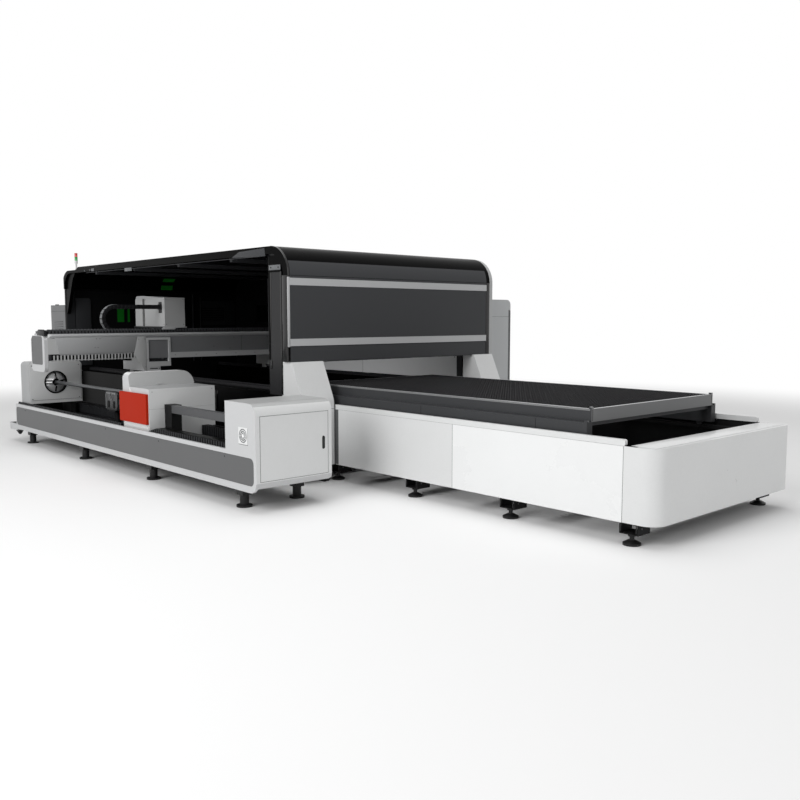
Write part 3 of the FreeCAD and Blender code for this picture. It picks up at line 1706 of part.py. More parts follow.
# ---------------------------------------------------------------------------
# Build
# ---------------------------------------------------------------------------
def build():
    upper_back = x_front - pallet_back
    lower_back = upper_back - pallet_inside_travel
    pieces = {
        "main_frame": main_frame(),
        "levelling_feet": levelling_feet(),
        "gantry_rails": gantry_rails(),
        "roof_shell": roof_shell(),
        "far_wall": far_wall(),
        "far_side_cover": far_side_cover(),
        "viewing_windows": viewing_windows(),
        "rear_wall": rear_wall(),
        "front_hood": front_hood(),
        "hood_trim_strips": hood_trim_strips(),
        "near_front_post": near_front_post(),
        "near_rear_arch": near_rear_arch(),
        "near_cowl": near_cowl(),
        "far_cowl": far_cowl(),
        "table_frame": table_frame(),
        "near_table_panel_inner": near_table_panel_inner(),
        "near_table_panel_outer": near_table_panel_outer(),
        "far_table_panel": far_table_panel(),
        "table_end_cover": table_end_cover(),
        "near_table_rim": near_table_rim(),
        "far_table_rim": mirrored_y(near_table_rim()),
        "pallet_drive_shaft": pallet_drive_shaft(),
        "upper_pallet_frame": pallet_frame(upper_back, 0.0),
        "upper_pallet_slats": pallet_slats(upper_back, 0.0),
        "lower_pallet_frame": pallet_frame(lower_back, level_drop),
        "lower_pallet_slats": pallet_slats(lower_back, level_drop),
        "tube_bed_frame": tube_bed_frame(),
        "tube_bed_panel": tube_bed_panel(),
        "chuck_ways": chuck_ways(),
        "rack_guards": rack_guards(),
        "end_box_shell": end_box_shell(),
        "end_box_door": end_box_door(),
        "fan_grille": fan_grille(),
        "rear_chuck_housing": rear_chuck_housing(),
        "rear_chuck_rotor": rear_chuck_rotor(),
        "front_chuck_housing": front_chuck_housing(),
        "front_chuck_side_panel": front_chuck_side_panel(),
        "front_chuck_rotor": front_chuck_rotor(),
        "stock_tube": stock_tube(),
        "tube_support": tube_support(),
        "unloading_bar": unloading_bar(),
        "gantry_beam": gantry_beam(),
        "beam_cover": beam_cover(),
        "beam_end_cap": beam_end_cap(),
        "near_gantry_carriage": near_gantry_carriage(),
        "far_gantry_carriage": far_gantry_carriage(),
        "beam_cable_chain": beam_cable_chain(),
        "head_slide_plate": head_slide_plate(),
        "head_box": head_box(),
        "cutting_head": cutting_head(),
        "head_chain_loop": head_chain_loop(),
        "electrical_cabinet": electrical_cabinet(),
        "electrical_cabinet_door": electrical_cabinet_door(),
        "laser_cabinet": laser_cabinet(),
        "signal_stem": signal_stem(),
        "signal_lenses": signal_lenses(),
    }
    for i in range(jaw_count):
        pieces["rear_jaw_%d" % (i + 1)] = rear_jaw(i)
    return pieces


def main():
    os.makedirs("parts", exist_ok=True)
    for name, shape in build().items():
        shape.exportStep("parts/%s.step" % name)
        size = shape.BoundBox
        print(
            "%-26s solids %3d  volume %.6f m3  x %8.1f %8.1f  y %8.1f %8.1f  z %7.1f %7.1f"
            % (
                name, len(shape.Solids), shape.Volume / 1e9,
                size.XMin, size.XMax, size.YMin, size.YMax, size.ZMin, size.ZMax,
            )
        )


main()
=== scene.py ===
"""Looks of the sheet and tube laser cutter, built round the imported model.

All lengths are in metres, in the model's own frame: +X from the cutting cell to the
exchange table, +Y from the tube bed to the far side, +Z up from the floor.
"""
import functools
import json
import logging
import math
from collections.abc import Callable, Iterable
from dataclasses import dataclass
from enum import Enum
from itertools import product

import bmesh
import bpy
from mathutils import Matrix, Vector


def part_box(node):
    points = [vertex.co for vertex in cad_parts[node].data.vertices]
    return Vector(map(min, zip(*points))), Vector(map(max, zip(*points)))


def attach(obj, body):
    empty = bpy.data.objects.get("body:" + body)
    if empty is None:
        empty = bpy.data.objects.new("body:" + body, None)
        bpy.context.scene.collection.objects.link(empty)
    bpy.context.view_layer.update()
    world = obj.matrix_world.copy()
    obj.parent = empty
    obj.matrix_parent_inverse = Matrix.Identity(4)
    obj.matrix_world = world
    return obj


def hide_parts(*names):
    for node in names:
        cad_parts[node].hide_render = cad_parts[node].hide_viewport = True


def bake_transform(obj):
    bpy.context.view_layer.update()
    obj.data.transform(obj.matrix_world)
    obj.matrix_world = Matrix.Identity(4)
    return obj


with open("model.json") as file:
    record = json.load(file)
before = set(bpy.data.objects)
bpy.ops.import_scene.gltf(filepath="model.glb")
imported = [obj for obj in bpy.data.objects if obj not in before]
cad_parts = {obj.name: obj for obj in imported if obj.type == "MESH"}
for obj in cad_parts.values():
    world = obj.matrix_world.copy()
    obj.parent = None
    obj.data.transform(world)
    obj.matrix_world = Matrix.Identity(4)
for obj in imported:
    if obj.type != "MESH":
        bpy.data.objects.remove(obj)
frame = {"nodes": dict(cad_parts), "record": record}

Tone = tuple[float, float, float]
Point = tuple[float, float, float]
Place = tuple[float, float]
Span = tuple[float, float]
Outline = list[Place]
Input = bpy.types.NodeSocket | float | Point

log = logging.getLogger("laser_cutter")


# ---------------------------------------------------------------------------
# Shared helpers
# ---------------------------------------------------------------------------
def tone(red: int, green: int, blue: int) -> Tone:
    """Linear colour of a display colour, whose parts go from 0 to 255."""
    def linear(part: int) -> float:
        """Linear value of one part."""
        value = part / 255
        return value / 12.92 if value <= 0.04045 else ((value + 0.055) / 1.055) ** 2.4
    return linear(red), linear(green), linear(blue)


def steps(first: float, last: float, count: int) -> list[float]:
    """Evenly spaced places, at least two, both ends among them."""
    return [first + (last - first) * i / (count - 1) for i in range(count)]


def paces(first: float, last: float, pitch: float) -> list[float]:
    """Places at about one pitch from each other, both ends among them."""
    return steps(first, last, max(2, round((last - first) / pitch) + 1))


def around(middle: float, half: float) -> Span:
    """Span that reaches equally far to both sides of its middle."""
    return middle - half, middle + half


class Axis(Enum):
    """Direction that a shape is drawn out along."""

    X = 0
    Y = 1
    Z = 2

    def point(self, first: float, second: float, depth: float) -> Vector:
        """Point from two outline coordinates and the place along this axis."""
        if self is Axis.X:
            return Vector((depth, first, second))
        if self is Axis.Y:
            return Vector((first, depth, second))
        return Vector((first, second, depth))


X, Y, Z = Axis


# ---------------------------------------------------------------------------
# Node trees
# ---------------------------------------------------------------------------
class Nodes:
    """Shorthand for building one shader node tree."""

    def __init__(self, tree: bpy.types.NodeTree) -> None:
        """Work on a tree."""
        self.tree = tree

    def feed(self, node: bpy.types.Node, inputs: dict[str | int, Input]) -> None:
        """Give inputs of a node, by name or number, a socket to read or a value."""
        for key, given in inputs.items():
            socket = node.inputs[key]
            if isinstance(given, bpy.types.NodeSocket):
                self.tree.links.new(given, socket)
            else:
                socket.default_value = (*given, 1.0) if socket.type == "RGBA" else given

    def add(self, kind: str, inputs: dict[str | int, Input] | None = None,
            **settings: object) -> bpy.types.NodeOutputs:
        """Add a node.

        Args:
            kind: Its type, without the leading "ShaderNode".
            inputs: What its inputs are given, by name or number.
            **settings: Its other properties.

        Returns:
            The node's outputs.
        """
        node = self.tree.nodes.new("ShaderNode" + kind)
        for title, value in settings.items():
            setattr(node, title, value)
        self.feed(node, inputs or {})
        return node.outputs

    def math(self, operation: str, *values: Input) -> bpy.types.NodeSocket:
        """Result of a sum over sockets and numbers."""
        return self.add("Math", dict(enumerate(values)), operation=operation)[0]

    def noise(self, place: bpy.types.NodeSocket, scale: Input, detail: float,
              roughness: float = 0.5) -> bpy.types.NodeSocket:
        """Value of a noise texture read at a place."""
        return self.add("TexNoise", {
            "Vector": place, "Scale": scale, "Detail": detail, "Roughness": roughness,
        })["Fac"]

    def shared(self, group: bpy.types.NodeTree, **inputs: Input) -> bpy.types.NodeOutputs:
        """Outputs of a shared group that is placed in this tree."""
        return self.add("Group", inputs, node_tree=group)


class Group(Nodes):
    """A node group, whose tree holds sockets for what it is given and what it makes."""

    def __init__(self, name: str, outputs: dict[str, str], **inputs: float | Tone | None) -> None:
        """Start a group.

        Args:
            name: Name of the group.
            outputs: Kind of each output.
            **inputs: Default of each input: a number, a colour, or None for a place.
        """
        super().__init__(bpy.data.node_groups.new(name, "ShaderNodeTree"))
        new_socket = self.tree.interface.new_socket
        for title, default in inputs.items():
            kind = "Vector" if default is None else "Color" if isinstance(default, tuple) else "Float"
            socket = new_socket(title, in_out="INPUT", socket_type="NodeSocket" + kind)
            if default is not None:
                socket.default_value = (*default, 1.0) if kind == "Color" else default
        for title, kind in outputs.items():
            new_socket(title, in_out="OUTPUT", socket_type="NodeSocket" + kind)
        self.given = self.tree.nodes.new("NodeGroupInput").outputs
        self.end = self.tree.nodes.new("NodeGroupOutput")

    def closed(self, **results: bpy.types.NodeSocket) -> bpy.types.NodeTree:
        """Link the group's results and return its tree."""
        self.feed(self.end, results)
        return self.tree


class Effects:
    """The node groups that the finishes share."""

    wave_scale: float = 2.2
    patch_scale: float = 3.1
    speck_scale: float = 46.0
    grime_start: float = 0.17
    grime_full: float = 0.42
    upward_share: float = 0.6
    floor_fade: float = 0.45
    floor_least: float = 0.15

    def __init__(self) -> None:
        """Build every group."""
        self.relief = self._relief()
        self.grime = self._grime()
        self.drift = self._drift()
        self.mill = self._mill()

    def _relief(self) -> bpy.types.NodeTree:
        """Fine orange peel of a sprayed or moulded skin, with a slow wave of the sheet."""
        group = Group("skin_relief", {"Height": "Float"}, Place=None, Grain=260.0, Wave=0.3)
        place, grain, wave = (group.given[title] for title in ("Place", "Grain", "Wave"))
        waved = group.math("MULTIPLY", group.noise(place, self.wave_scale, 1.0), wave)
        return group.closed(Height=group.math("ADD", group.noise(place, grain, 2.0), waved))

    def _grime(self) -> bpy.types.NodeTree:
        """Mask of settled dust and hand marks: more of it low down and on upward faces."""
        group = Group("settled_grime", {"Mask": "Float"}, Place=None, Amount=0.3)
        place = group.given["Place"]
        patches = group.noise(place, self.patch_scale, 5.0, 0.62)
        specks = group.noise(place, self.speck_scale, 3.0, 0.7)
        spread = group.add("MapRange", {
            "Value": group.math("MULTIPLY", patches, specks),
            "From Min": self.grime_start, "From Max": self.grime_full,
        })["Result"]
        normal = group.add("SeparateXYZ", {0: group.add("NewGeometry")["Normal"]})
        upward = group.math("MAXIMUM", normal["Z"], 0.0)
        lying = group.math("MULTIPLY_ADD", upward, self.upward_share, 1.0 - self.upward_share)
        height = group.add("SeparateXYZ", {0: place})["Z"]
        low = group.math("SUBTRACT", 1.0, group.math("MULTIPLY", height, self.floor_fade))
        mask = group.math("MULTIPLY", spread, lying)
        mask = group.math("MULTIPLY", mask, group.math("MAXIMUM", low, self.floor_least))
        return group.closed(Mask=group.math("MULTIPLY", mask, group.given["Amount"]))

    def _drift(self) -> bpy.types.NodeTree:
        """Slow change of shade over a surface, and a second colour where a mask is set."""
        group = Group(
            "shade_drift", {"Colour": "Color", "Shade": "Float"}, Place=None, Colour=(0.8, 0.8, 0.8),
            Soil=(0.3, 0.28, 0.25), Mask=0.0, Drift=0.05, Scale=1.4,
        )
        given = group.given
        shade = group.math("SUBTRACT", group.noise(given["Place"], given["Scale"], 3.0), 0.5)
        gain = group.math("MULTIPLY_ADD", shade, given["Drift"], 1.0)
        shaded = group.add("VectorMath", {0: given["Colour"], "Scale": gain}, operation="SCALE")[0]
        mixed = group.add("Mix", {"Factor": given["Mask"], "A": shaded, "B": given["Soil"]}, data_type="RGBA")
        return group.closed(Colour=mixed["Result"], Shade=shade)

    def _mill(self) -> bpy.types.NodeTree:
        """Lines that rolling, drawing or grinding leaves along one direction of bare metal."""
        group = Group("mill_lines", {"Height": "Float"}, Place=None, Stretch=None, Fineness=220.0)
        given = group.given
        drawn = group.add("VectorMath", {0: given["Place"], 1: given["Stretch"]}, operation="MULTIPLY")[0]
        return group.closed(Height=group.noise(drawn, given["Fineness"], 4.0, 0.65))


# ---------------------------------------------------------------------------
# Finishes
# ---------------------------------------------------------------------------
COAT_ROUGHNESS = 0.12
SHADE_ROUGHENS = 0.16
GRIME_ROUGHENS = 0.35


@dataclass(frozen=True)
class Finish:
    """One surface finish; its material is built once, when a piece first needs it."""

    name: str
    colour: Tone
    roughness: float = 0.45
    metallic: float = 0.0
    specular: float = 0.5
    coat: float = 0.0
    grain: float = 260.0
    relief: float = 0.00012
    wave: float = 0.3
    drift: float = 0.06
    soil: Tone = tone(120, 114, 104)
    grime: float = 0.25
    lines: Point | None = None
    glow: float = 0.0

    def dressed(self, effects: Effects) -> bpy.types.Material:
        """Material of this finish, built from the shared node groups on the first call."""
        known = bpy.data.materials.get("look_" + self.name)
        if known:
            return known
        material = bpy.data.materials.new("look_" + self.name)
        material.use_nodes = True
        material.diffuse_color = (*self.colour, 1.0)
        nodes = Nodes(material.node_tree)
        skin = material.node_tree.nodes["Principled BSDF"]
        place = nodes.add("TexCoord")["Object"]
        mask = nodes.shared(effects.grime, Place=place, Amount=self.grime)["Mask"]
        drift = nodes.shared(
            effects.drift, Place=place, Drift=self.drift, Colour=self.colour, Soil=self.soil, Mask=mask,
        )
        shaded = nodes.math("MULTIPLY_ADD", drift["Shade"], SHADE_ROUGHENS, self.roughness)
        nodes.feed(skin, {
            "Base Color": drift["Colour"],
            "Metallic": self.metallic,
            "Specular IOR Level": self.specular,
            "Coat Weight": self.coat,
            "Coat Roughness": COAT_ROUGHNESS,
            "Roughness": nodes.math("MULTIPLY_ADD", mask, GRIME_ROUGHENS, shaded),
            "Normal": self._embossed(nodes, effects, place),
        })
        if self.glow:
            nodes.feed(skin, {"Emission Color": drift["Colour"], "Emission Strength": self.glow})
        return material

    def _embossed(self, nodes: Nodes, effects: Effects, place: bpy.types.NodeSocket) -> bpy.types.NodeSocket:
        """Normal with the skin's grain, or with the mill lines of bare metal."""
        if self.lines:
            raised = nodes.shared(effects.mill, Place=place, Stretch=self.lines, Fineness=self.grain)
        else:
            raised = nodes.shared(effects.relief, Place=place, Grain=self.grain, Wave=self.wave)
        return nodes.add("Bump", {"Height": raised["Height"], "Distance": self.relief})["Normal"]


dark = functools.partial(Finish, soil=tone(60, 59, 58))

WHITE_COAT = Finish("white_coat", tone(214, 215, 215), roughness=0.34, specular=0.4, grime=0.1)
TABLE_COAT = Finish("table_coat", tone(218, 219, 219), roughness=0.3, specular=0.5, coat=0.15, grime=0.1)
SHADED_COAT = Finish("shaded_coat", tone(190, 191, 192), roughness=0.4, specular=0.35, grime=0.12)
COVER_COAT = Finish("cover_coat", tone(176, 177, 177), roughness=0.36, specular=0.35, grime=0.12)
CABINET_COAT = Finish("cabinet_coat", tone(182, 184, 185), roughness=0.36, specular=0.35, grime=0.1)
PANEL_GREY = Finish("panel_grey", tone(88, 89, 90), roughness=0.4, specular=0.35, grime=0.12)
BEAM_GREY = Finish("beam_grey", tone(118, 119, 121), roughness=0.42, specular=0.3, grime=0.15)
TRIM_GREY = Finish("trim_grey", tone(184, 185, 186), roughness=0.36, specular=0.35, grime=0.08)
FRAME_GREY = dark("frame_grey", tone(36, 36, 38), roughness=0.5, specular=0.12, grime=0.2)
PALLET_GREY = dark("pallet_grey", tone(58, 59, 61), roughness=0.42, specular=0.22, grime=0.22)
# Lighter grey for the upper pallet's front faces and the support's cap rings, and as painted highlight on the
# pallets' top rims and the support's top and left edges.
FACE_GREY_AND_HIGHLIGHT = Finish("face_grey_and_highlight", tone(120, 121, 122), roughness=0.42, specular=0.3, grime=0.2)
# Lighter metallic grey on the pallets' upward faces at the rim: a painted highlight along their top edges.
PALLET_TOP_HIGHLIGHT = Finish("pallet_top_highlight", tone(176, 177, 178), roughness=0.36, metallic=0.4, grime=0.1)
HOOD_GREY = dark("hood_grey", tone(61, 62, 64), roughness=0.5, specular=0.16, grime=0.06)
ROOF_BLACK = dark("roof_black", tone(3, 3, 3), roughness=0.3, specular=0.03, grime=0.0)
CELL_BLACK = dark("cell_black", tone(13, 13, 14), roughness=0.5, specular=0.1, grime=0.05)
CELL_GREY = dark("cell_grey", tone(46, 47, 49), roughness=0.5, specular=0.12, grime=0.1)
LINER_GREY = Finish("liner_grey", tone(232, 233, 234), roughness=0.5, specular=0.2, grime=0.1)
TRAY_GREY = Finish("tray_grey", tone(156, 157, 158), roughness=0.38, specular=0.35, grime=0.1)
BAR_GREY = dark("bar_grey", tone(74, 75, 77), roughness=0.4, specular=0.3, grime=0.1)
# A brighter copy of the table coat; on the near outer table panel it is painted light.
BRIGHT_COAT = Finish("bright_coat", tone(232, 233, 233), roughness=0.28, specular=0.5, coat=0.15, grime=0.06)
POST_BLACK = dark("post_black", tone(22, 22, 24), roughness=0.3, specular=0.25, grime=0.04)
GLOSS_BLACK = dark("gloss_black", tone(9, 9, 10), roughness=0.14, specular=0.4, grime=0.02)
BED_BLACK = dark("bed_black", tone(18, 18, 19), roughness=0.55, specular=0.15, grime=0.15)
SIGNAL_RED = Finish("panel_red", tone(166, 36, 10), roughness=0.5, specular=0.06, grime=0.03)
CHUCK_GREY = Finish("chuck_grey", tone(96, 99, 102), roughness=0.35, metallic=0.5, grime=0.15)
CHROME = Finish(
    "polished_face", tone(214, 215, 217), roughness=0.16, metallic=1.0, grime=0.05, relief=0.00005,
    lines=(1.0, 0.04, 1.0),
)
SLAT_STEEL = Finish(
    "slat_steel", tone(58, 58, 60), roughness=0.5, metallic=0.5, specular=0.2, grime=0.3, relief=0.0003,
    grain=60.0, soil=tone(64, 52, 44), lines=(0.2, 0.2, 1.0),
)
CHUCK_FACE = Finish("chuck_face", tone(238, 239, 240), roughness=0.22, metallic=0.6, specular=0.6, grime=0.04)
GROUND_STEEL = Finish(
    "ground_steel", tone(128, 129, 131), roughness=0.32, metallic=1.0, grime=0.15, relief=0.00005,
    lines=(0.02, 1.0, 1.0),
)
TUBE_STEEL = Finish(
    "tube_steel", tone(104, 106, 108), roughness=0.4, metallic=0.9, grime=0.1, relief=0.00006,
    lines=(0.01, 1.0, 1.0),
)
FOOT_BLACK = dark("foot_black", tone(20, 20, 21), roughness=0.38, specular=0.3, grime=0.2)
CHAIN_NYLON = dark("chain_nylon", tone(24, 24, 26), roughness=0.42, specular=0.25, grime=0.1)
CHAIN_BAND = Finish("chain_band", tone(104, 106, 108), roughness=0.45, specular=0.3, grime=0.1)
SCREW_STEEL = Finish("screw_steel", tone(92, 93, 95), roughness=0.3, metallic=0.8, grime=0.1)
LASER_PANE = Finish("laser_pane", tone(3, 6, 4), roughness=0.2, specular=0.06, grime=0.02, relief=0.00002)
# Green panes that glow though they are no lamps: the glow is painted light.
GREEN_PANE_PAINTED_GLOW = Finish("green_pane_painted_glow", tone(16, 84, 22), roughness=0.2, specular=0.2, grime=0.04, glow=0.12)
TOWER_GREY = Finish("tower_grey", tone(110, 111, 112), roughness=0.4, specular=0.25, grime=0.1)
SUPPORT_STEEL = Finish("support_steel", tone(60, 61, 63), roughness=0.28, metallic=0.7, grime=0.2)
BRASS = Finish("nozzle_brass", tone(190, 150, 88), roughness=0.25, metallic=1.0, grime=0.1)
GREEN_LENS = Finish("green_lens", tone(40, 150, 70), roughness=0.18, coat=0.4, grime=0.04, glow=0.12)
RED_LENS = Finish("red_lens", tone(190, 44, 38), roughness=0.18, coat=0.4, grime=0.04, glow=0.12)

SLOT_FINISH: dict[str, Finish] = {
    "white_paint": WHITE_COAT, "grey_paint": PANEL_GREY, "table_grey": TABLE_COAT,
    "dark_paint": HOOD_GREY, "black_paint": ROOF_BLACK, "trim_grey": TRIM_GREY,
    "frame_paint": FRAME_GREY, "pallet_grey": PALLET_GREY, "red_panel": SIGNAL_RED,
    "chuck_grey": CHUCK_GREY, "slat_steel": SLAT_STEEL, "bright_steel": GROUND_STEEL,
    "tube_steel": TUBE_STEEL, "foot_black": FOOT_BLACK, "chain_plastic": CHAIN_NYLON,
    "pane": LASER_PANE, "lens": GREEN_LENS, "nozzle": BRASS,
}
NODE_FINISH: dict[str, Finish] = {
    "far_wall": CELL_BLACK, "rear_wall": CELL_BLACK, "near_front_post": POST_BLACK,
    "chuck_ways": BED_BLACK, "gantry_beam": BEAM_GREY, "beam_cover": TRAY_GREY,
    "main_frame": ROOF_BLACK, "gantry_rails": FRAME_GREY, "tube_bed_frame": SHADED_COAT,
    # The near outer table panel is the same paint as the table coat; its brighter coat is painted light.
    "unloading_bar": BAR_GREY, "near_table_panel_outer": BRIGHT_COAT,
    "far_side_cover": COVER_COAT, "table_frame": BED_BLACK, "near_rear_arch": ROOF_BLACK,
    "tube_support": SUPPORT_STEEL, "near_gantry_carriage": SHADED_COAT, "head_slide_plate": CELL_GREY,
    "cutting_head": CHUCK_GREY, "laser_cabinet": TOWER_GREY, "head_box": COVER_COAT,
    # The rear chuck housing is white paint: its sides take the tray grey as painted shade, and its front
    # faces take the white coat in a zone.
    "rear_chuck_housing": TRAY_GREY,
    "beam_end_cap": SHADED_COAT, "electrical_cabinet": CABINET_COAT, "electrical_cabinet_door": CABINET_COAT,
}


# ---------------------------------------------------------------------------
# Mesh tools
# ---------------------------------------------------------------------------
SMOOTH_LIMIT = math.radians(36.0)
POINT_RADIUS = 1e-6
PLATE_SUNK = 0.0005
SCREW_SIDES = 10


def arc(centre: Place, radius: float, start: float, end: float, count: int) -> Outline:
    """Points on an arc between two angles in degrees."""
    angles = [math.radians(a) for a in steps(start, end, count)]
    return [(centre[0] + radius * math.cos(a), centre[1] + radius * math.sin(a)) for a in angles]


def eased(a0: float, a1: float, b0: float, b1: float, radius: float, count: int = 6) -> Outline:
    """Rectangle between two first and two second coordinates, with rounded corners."""
    near, far, low, high = a0 + radius, a1 - radius, b0 + radius, b1 - radius
    return (
        arc((far, low), radius, -90, 0, count) + arc((far, high), radius, 0, 90, count)
        + arc((near, high), radius, 90, 180, count) + arc((near, low), radius, 180, 270, count)
    )


class Shaper:
    """Collects the shapes of one piece, each with its own finish."""

    def __init__(self, name: str, base: Finish) -> None:
        """Start an empty piece, with the finish of the shapes that name no other."""
        self.name = name
        self.base = base
        self.finishes: list[Finish] = []
        self.mesh = bmesh.new()

    def _take(self, shape: bmesh.types.BMesh, finish: Finish | None) -> None:
        """Add a finished shape to the piece."""
        finish = finish or self.base
        if finish not in self.finishes:
            self.finishes.append(finish)
        for face in shape.faces:
            face.material_index = self.finishes.index(finish)
        scratch = bpy.data.meshes.new("scratch")
        shape.to_mesh(scratch)
        shape.free()
        self.mesh.from_mesh(scratch)
        bpy.data.meshes.remove(scratch)

    def block(self, low: Iterable[float], high: Iterable[float], finish: Finish | None = None,
              edge: float = 0.0, turn: Matrix | None = None) -> None:
        """Add a rectangular body.

        Args:
            low: Its lowest corner.
            high: Its highest corner.
            finish: Its finish, where that isn't the base.
            edge: Width of the eased edges.
            turn: Where it is moved to afterwards.
        """
        shape = bmesh.new()
        low, high = Vector(low), Vector(high)
        stretch = Matrix.Diagonal((*(high - low), 1.0))
        bmesh.ops.create_cube(shape, size=1.0, matrix=Matrix.Translation((low + high) / 2) @ stretch)
        if edge:
            bmesh.ops.bevel(shape, geom=shape.edges[:], offset=edge, segments=2, profile=0.5, affect="EDGES")
        if turn:
            shape.transform(turn)
        self._take(shape, finish)

    def prism(self, axis: Axis, outline: Outline, low: float, high: float, finish: Finish | None = None,
              edge: float = 0.0) -> None:
        """Add an outline drawn out along an axis.

        Args:
            axis: Direction that it is drawn along.
            outline: Its corners, as two coordinates each.
            low: Where it starts on the axis.
            high: Where it ends.
            finish: Its finish, where that isn't the base.
            edge: Width of the eased edges round both ends.
        """
        shape = bmesh.new()
        rings = [[shape.verts.new(axis.point(a, b, depth)) for a, b in outline] for depth in (low, high)]
        ends = [shape.faces.new(rings[0]), shape.faces.new(rings[1])]
        for i in range(len(outline)):
            j = (i + 1) % len(outline)
            shape.faces.new((rings[0][i], rings[0][j], rings[1][j], rings[1][i]))
        bmesh.ops.recalc_face_normals(shape, faces=shape.faces[:])
        if edge:
            rim = [e for face in ends for e in face.edges]
            bmesh.ops.bevel(shape, geom=rim, offset=edge, segments=2, profile=0.5, affect="EDGES")
        self._take(shape, finish)

    def lathe(self, axis: Axis, centre: Place, profile: Outline, finish: Finish | None = None,
              sides: int = 32, closed: bool = False) -> None:
        """Add a turned body.

        Args:
            axis: The axis that it is turned about.
            centre: Place of that axis, as the two other coordinates.
            profile: Radius and place along the axis of each point, from end to end.
            finish: Its finish, where that isn't the base.
            sides: Flats round it.
            closed: Whether the profile runs back to its start, and leaves a bore.
        """
        shape = bmesh.new()
        rings = []
        for radius, depth in profile:
            spin = [centre]
            if radius > POINT_RADIUS:
                spin = arc(centre, radius, 0.0, 360.0 - 360.0 / sides, sides)
            rings.append([shape.verts.new(axis.point(a, b, depth)) for a, b in spin])
        for one, two in zip(rings, rings[1:] + rings[:1] if closed else rings[1:]):
            for i in range(sides):
                j = (i + 1) % sides
                corners = [one[i % len(one)], one[j % len(one)], two[j % len(two)], two[i % len(two)]]
                shape.faces.new(list(dict.fromkeys(corners)))
        for ring in () if closed else (rings[0], rings[-1]):
            if len(ring) > 1:
                shape.faces.new(ring)
        bmesh.ops.recalc_face_normals(shape, faces=shape.faces[:])
        self._take(shape, finish)

    def rod(self, axis: Axis, centre: Place, radius: float, low: float, high: float,
            finish: Finish | None = None, edge: float = 0.0, sides: int = 24) -> None:
        """Add a round bar with eased ends."""
        profile = [(radius, low), (radius, high)]
        if edge:
            worn = radius - edge
            profile = [(worn, low), (radius, low + edge), (radius, high - edge), (worn, high)]
        self.lathe(axis, centre, profile, finish, sides)

    def ring(self, axis: Axis, centre: Place, outer: float, inner: float, low: float, high: float,
             finish: Finish | None = None, sides: int = 32) -> None:
        """Add a flat ring with square edges."""
        profile = [(outer, low), (outer, high), (inner, high), (inner, low)]
        self.lathe(axis, centre, profile, finish, sides, closed=True)

    def plate(self, axis: Axis, face: float, lift: float, first: Span, second: Span,
              finish: Finish | None = None, edge: float = 0.0) -> None:
        """Add a thin plate on a face, with its back just under the face.

        Args:
            axis: Direction that the plate is thin along.
            face: Where the face is.
            lift: How far the plate stands out, below zero where the face looks backwards.
            first: Its span on the first of the two other axes.
            second: Its span on the second.
            finish: Its finish, where that isn't the base.
            edge: Width of the eased edges.
        """
        low, high = sorted((face - math.copysign(PLATE_SUNK, lift), face + lift))
        self.block(axis.point(first[0], second[0], low), axis.point(first[1], second[1], high), finish,
                   edge)

    def screws(self, axis: Axis, centres: Iterable[Place], face: float, outward: float, radius: float = 0.006,
               finish: Finish | None = None) -> None:
        """Add domed screw heads with a socket in each.

        Args:
            axis: Direction that the screws point along.
            centres: Their places, as the two other coordinates.
            face: Where the face that they sit on is.
            outward: The way that the heads stand out, 1 or -1, or less for flatter heads.
            radius: Radius of the heads.
            finish: Their finish, where that isn't the base.
        """
        rise = radius * 0.5 * outward
        profile = [(radius, face), (radius, face + rise * 0.5), (radius * 0.8, face + rise),
                   (radius * 0.45, face + rise), (radius * 0.4, face + rise * 0.3), (0.0, face + rise * 0.3)]
        for centre in centres:
            self.lathe(axis, centre, profile, finish, SCREW_SIDES)

    def finished(self, effects: Effects, body: str, slot: str, *replaced: str) -> bpy.types.Object:
        """Turn the shapes into a piece.

        Args:
            effects: The shared node groups.
            body: Name of the body that it rides on, or nothing where it rides on none.
            slot: Material slot of the record; not used.
            *replaced: Nodes that it stands for.

        Returns:
            The new object.
        """
        data = bpy.data.meshes.new(self.name)
        self.mesh.to_mesh(data)
        self.mesh.free()
        for finish in self.finishes:
            data.materials.append(finish.dressed(effects))
        data.shade_smooth()
        data.set_sharp_from_angle(angle=SMOOTH_LIMIT)
        piece = bpy.data.objects.new(self.name, data)
        bpy.context.scene.collection.objects.link(piece)
        if body:
            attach(piece, body)
        if replaced:
            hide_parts(*replaced)
        log.info("%s: %d faces on %s", self.name, len(data.polygons), body or "two bodies")
        return piece


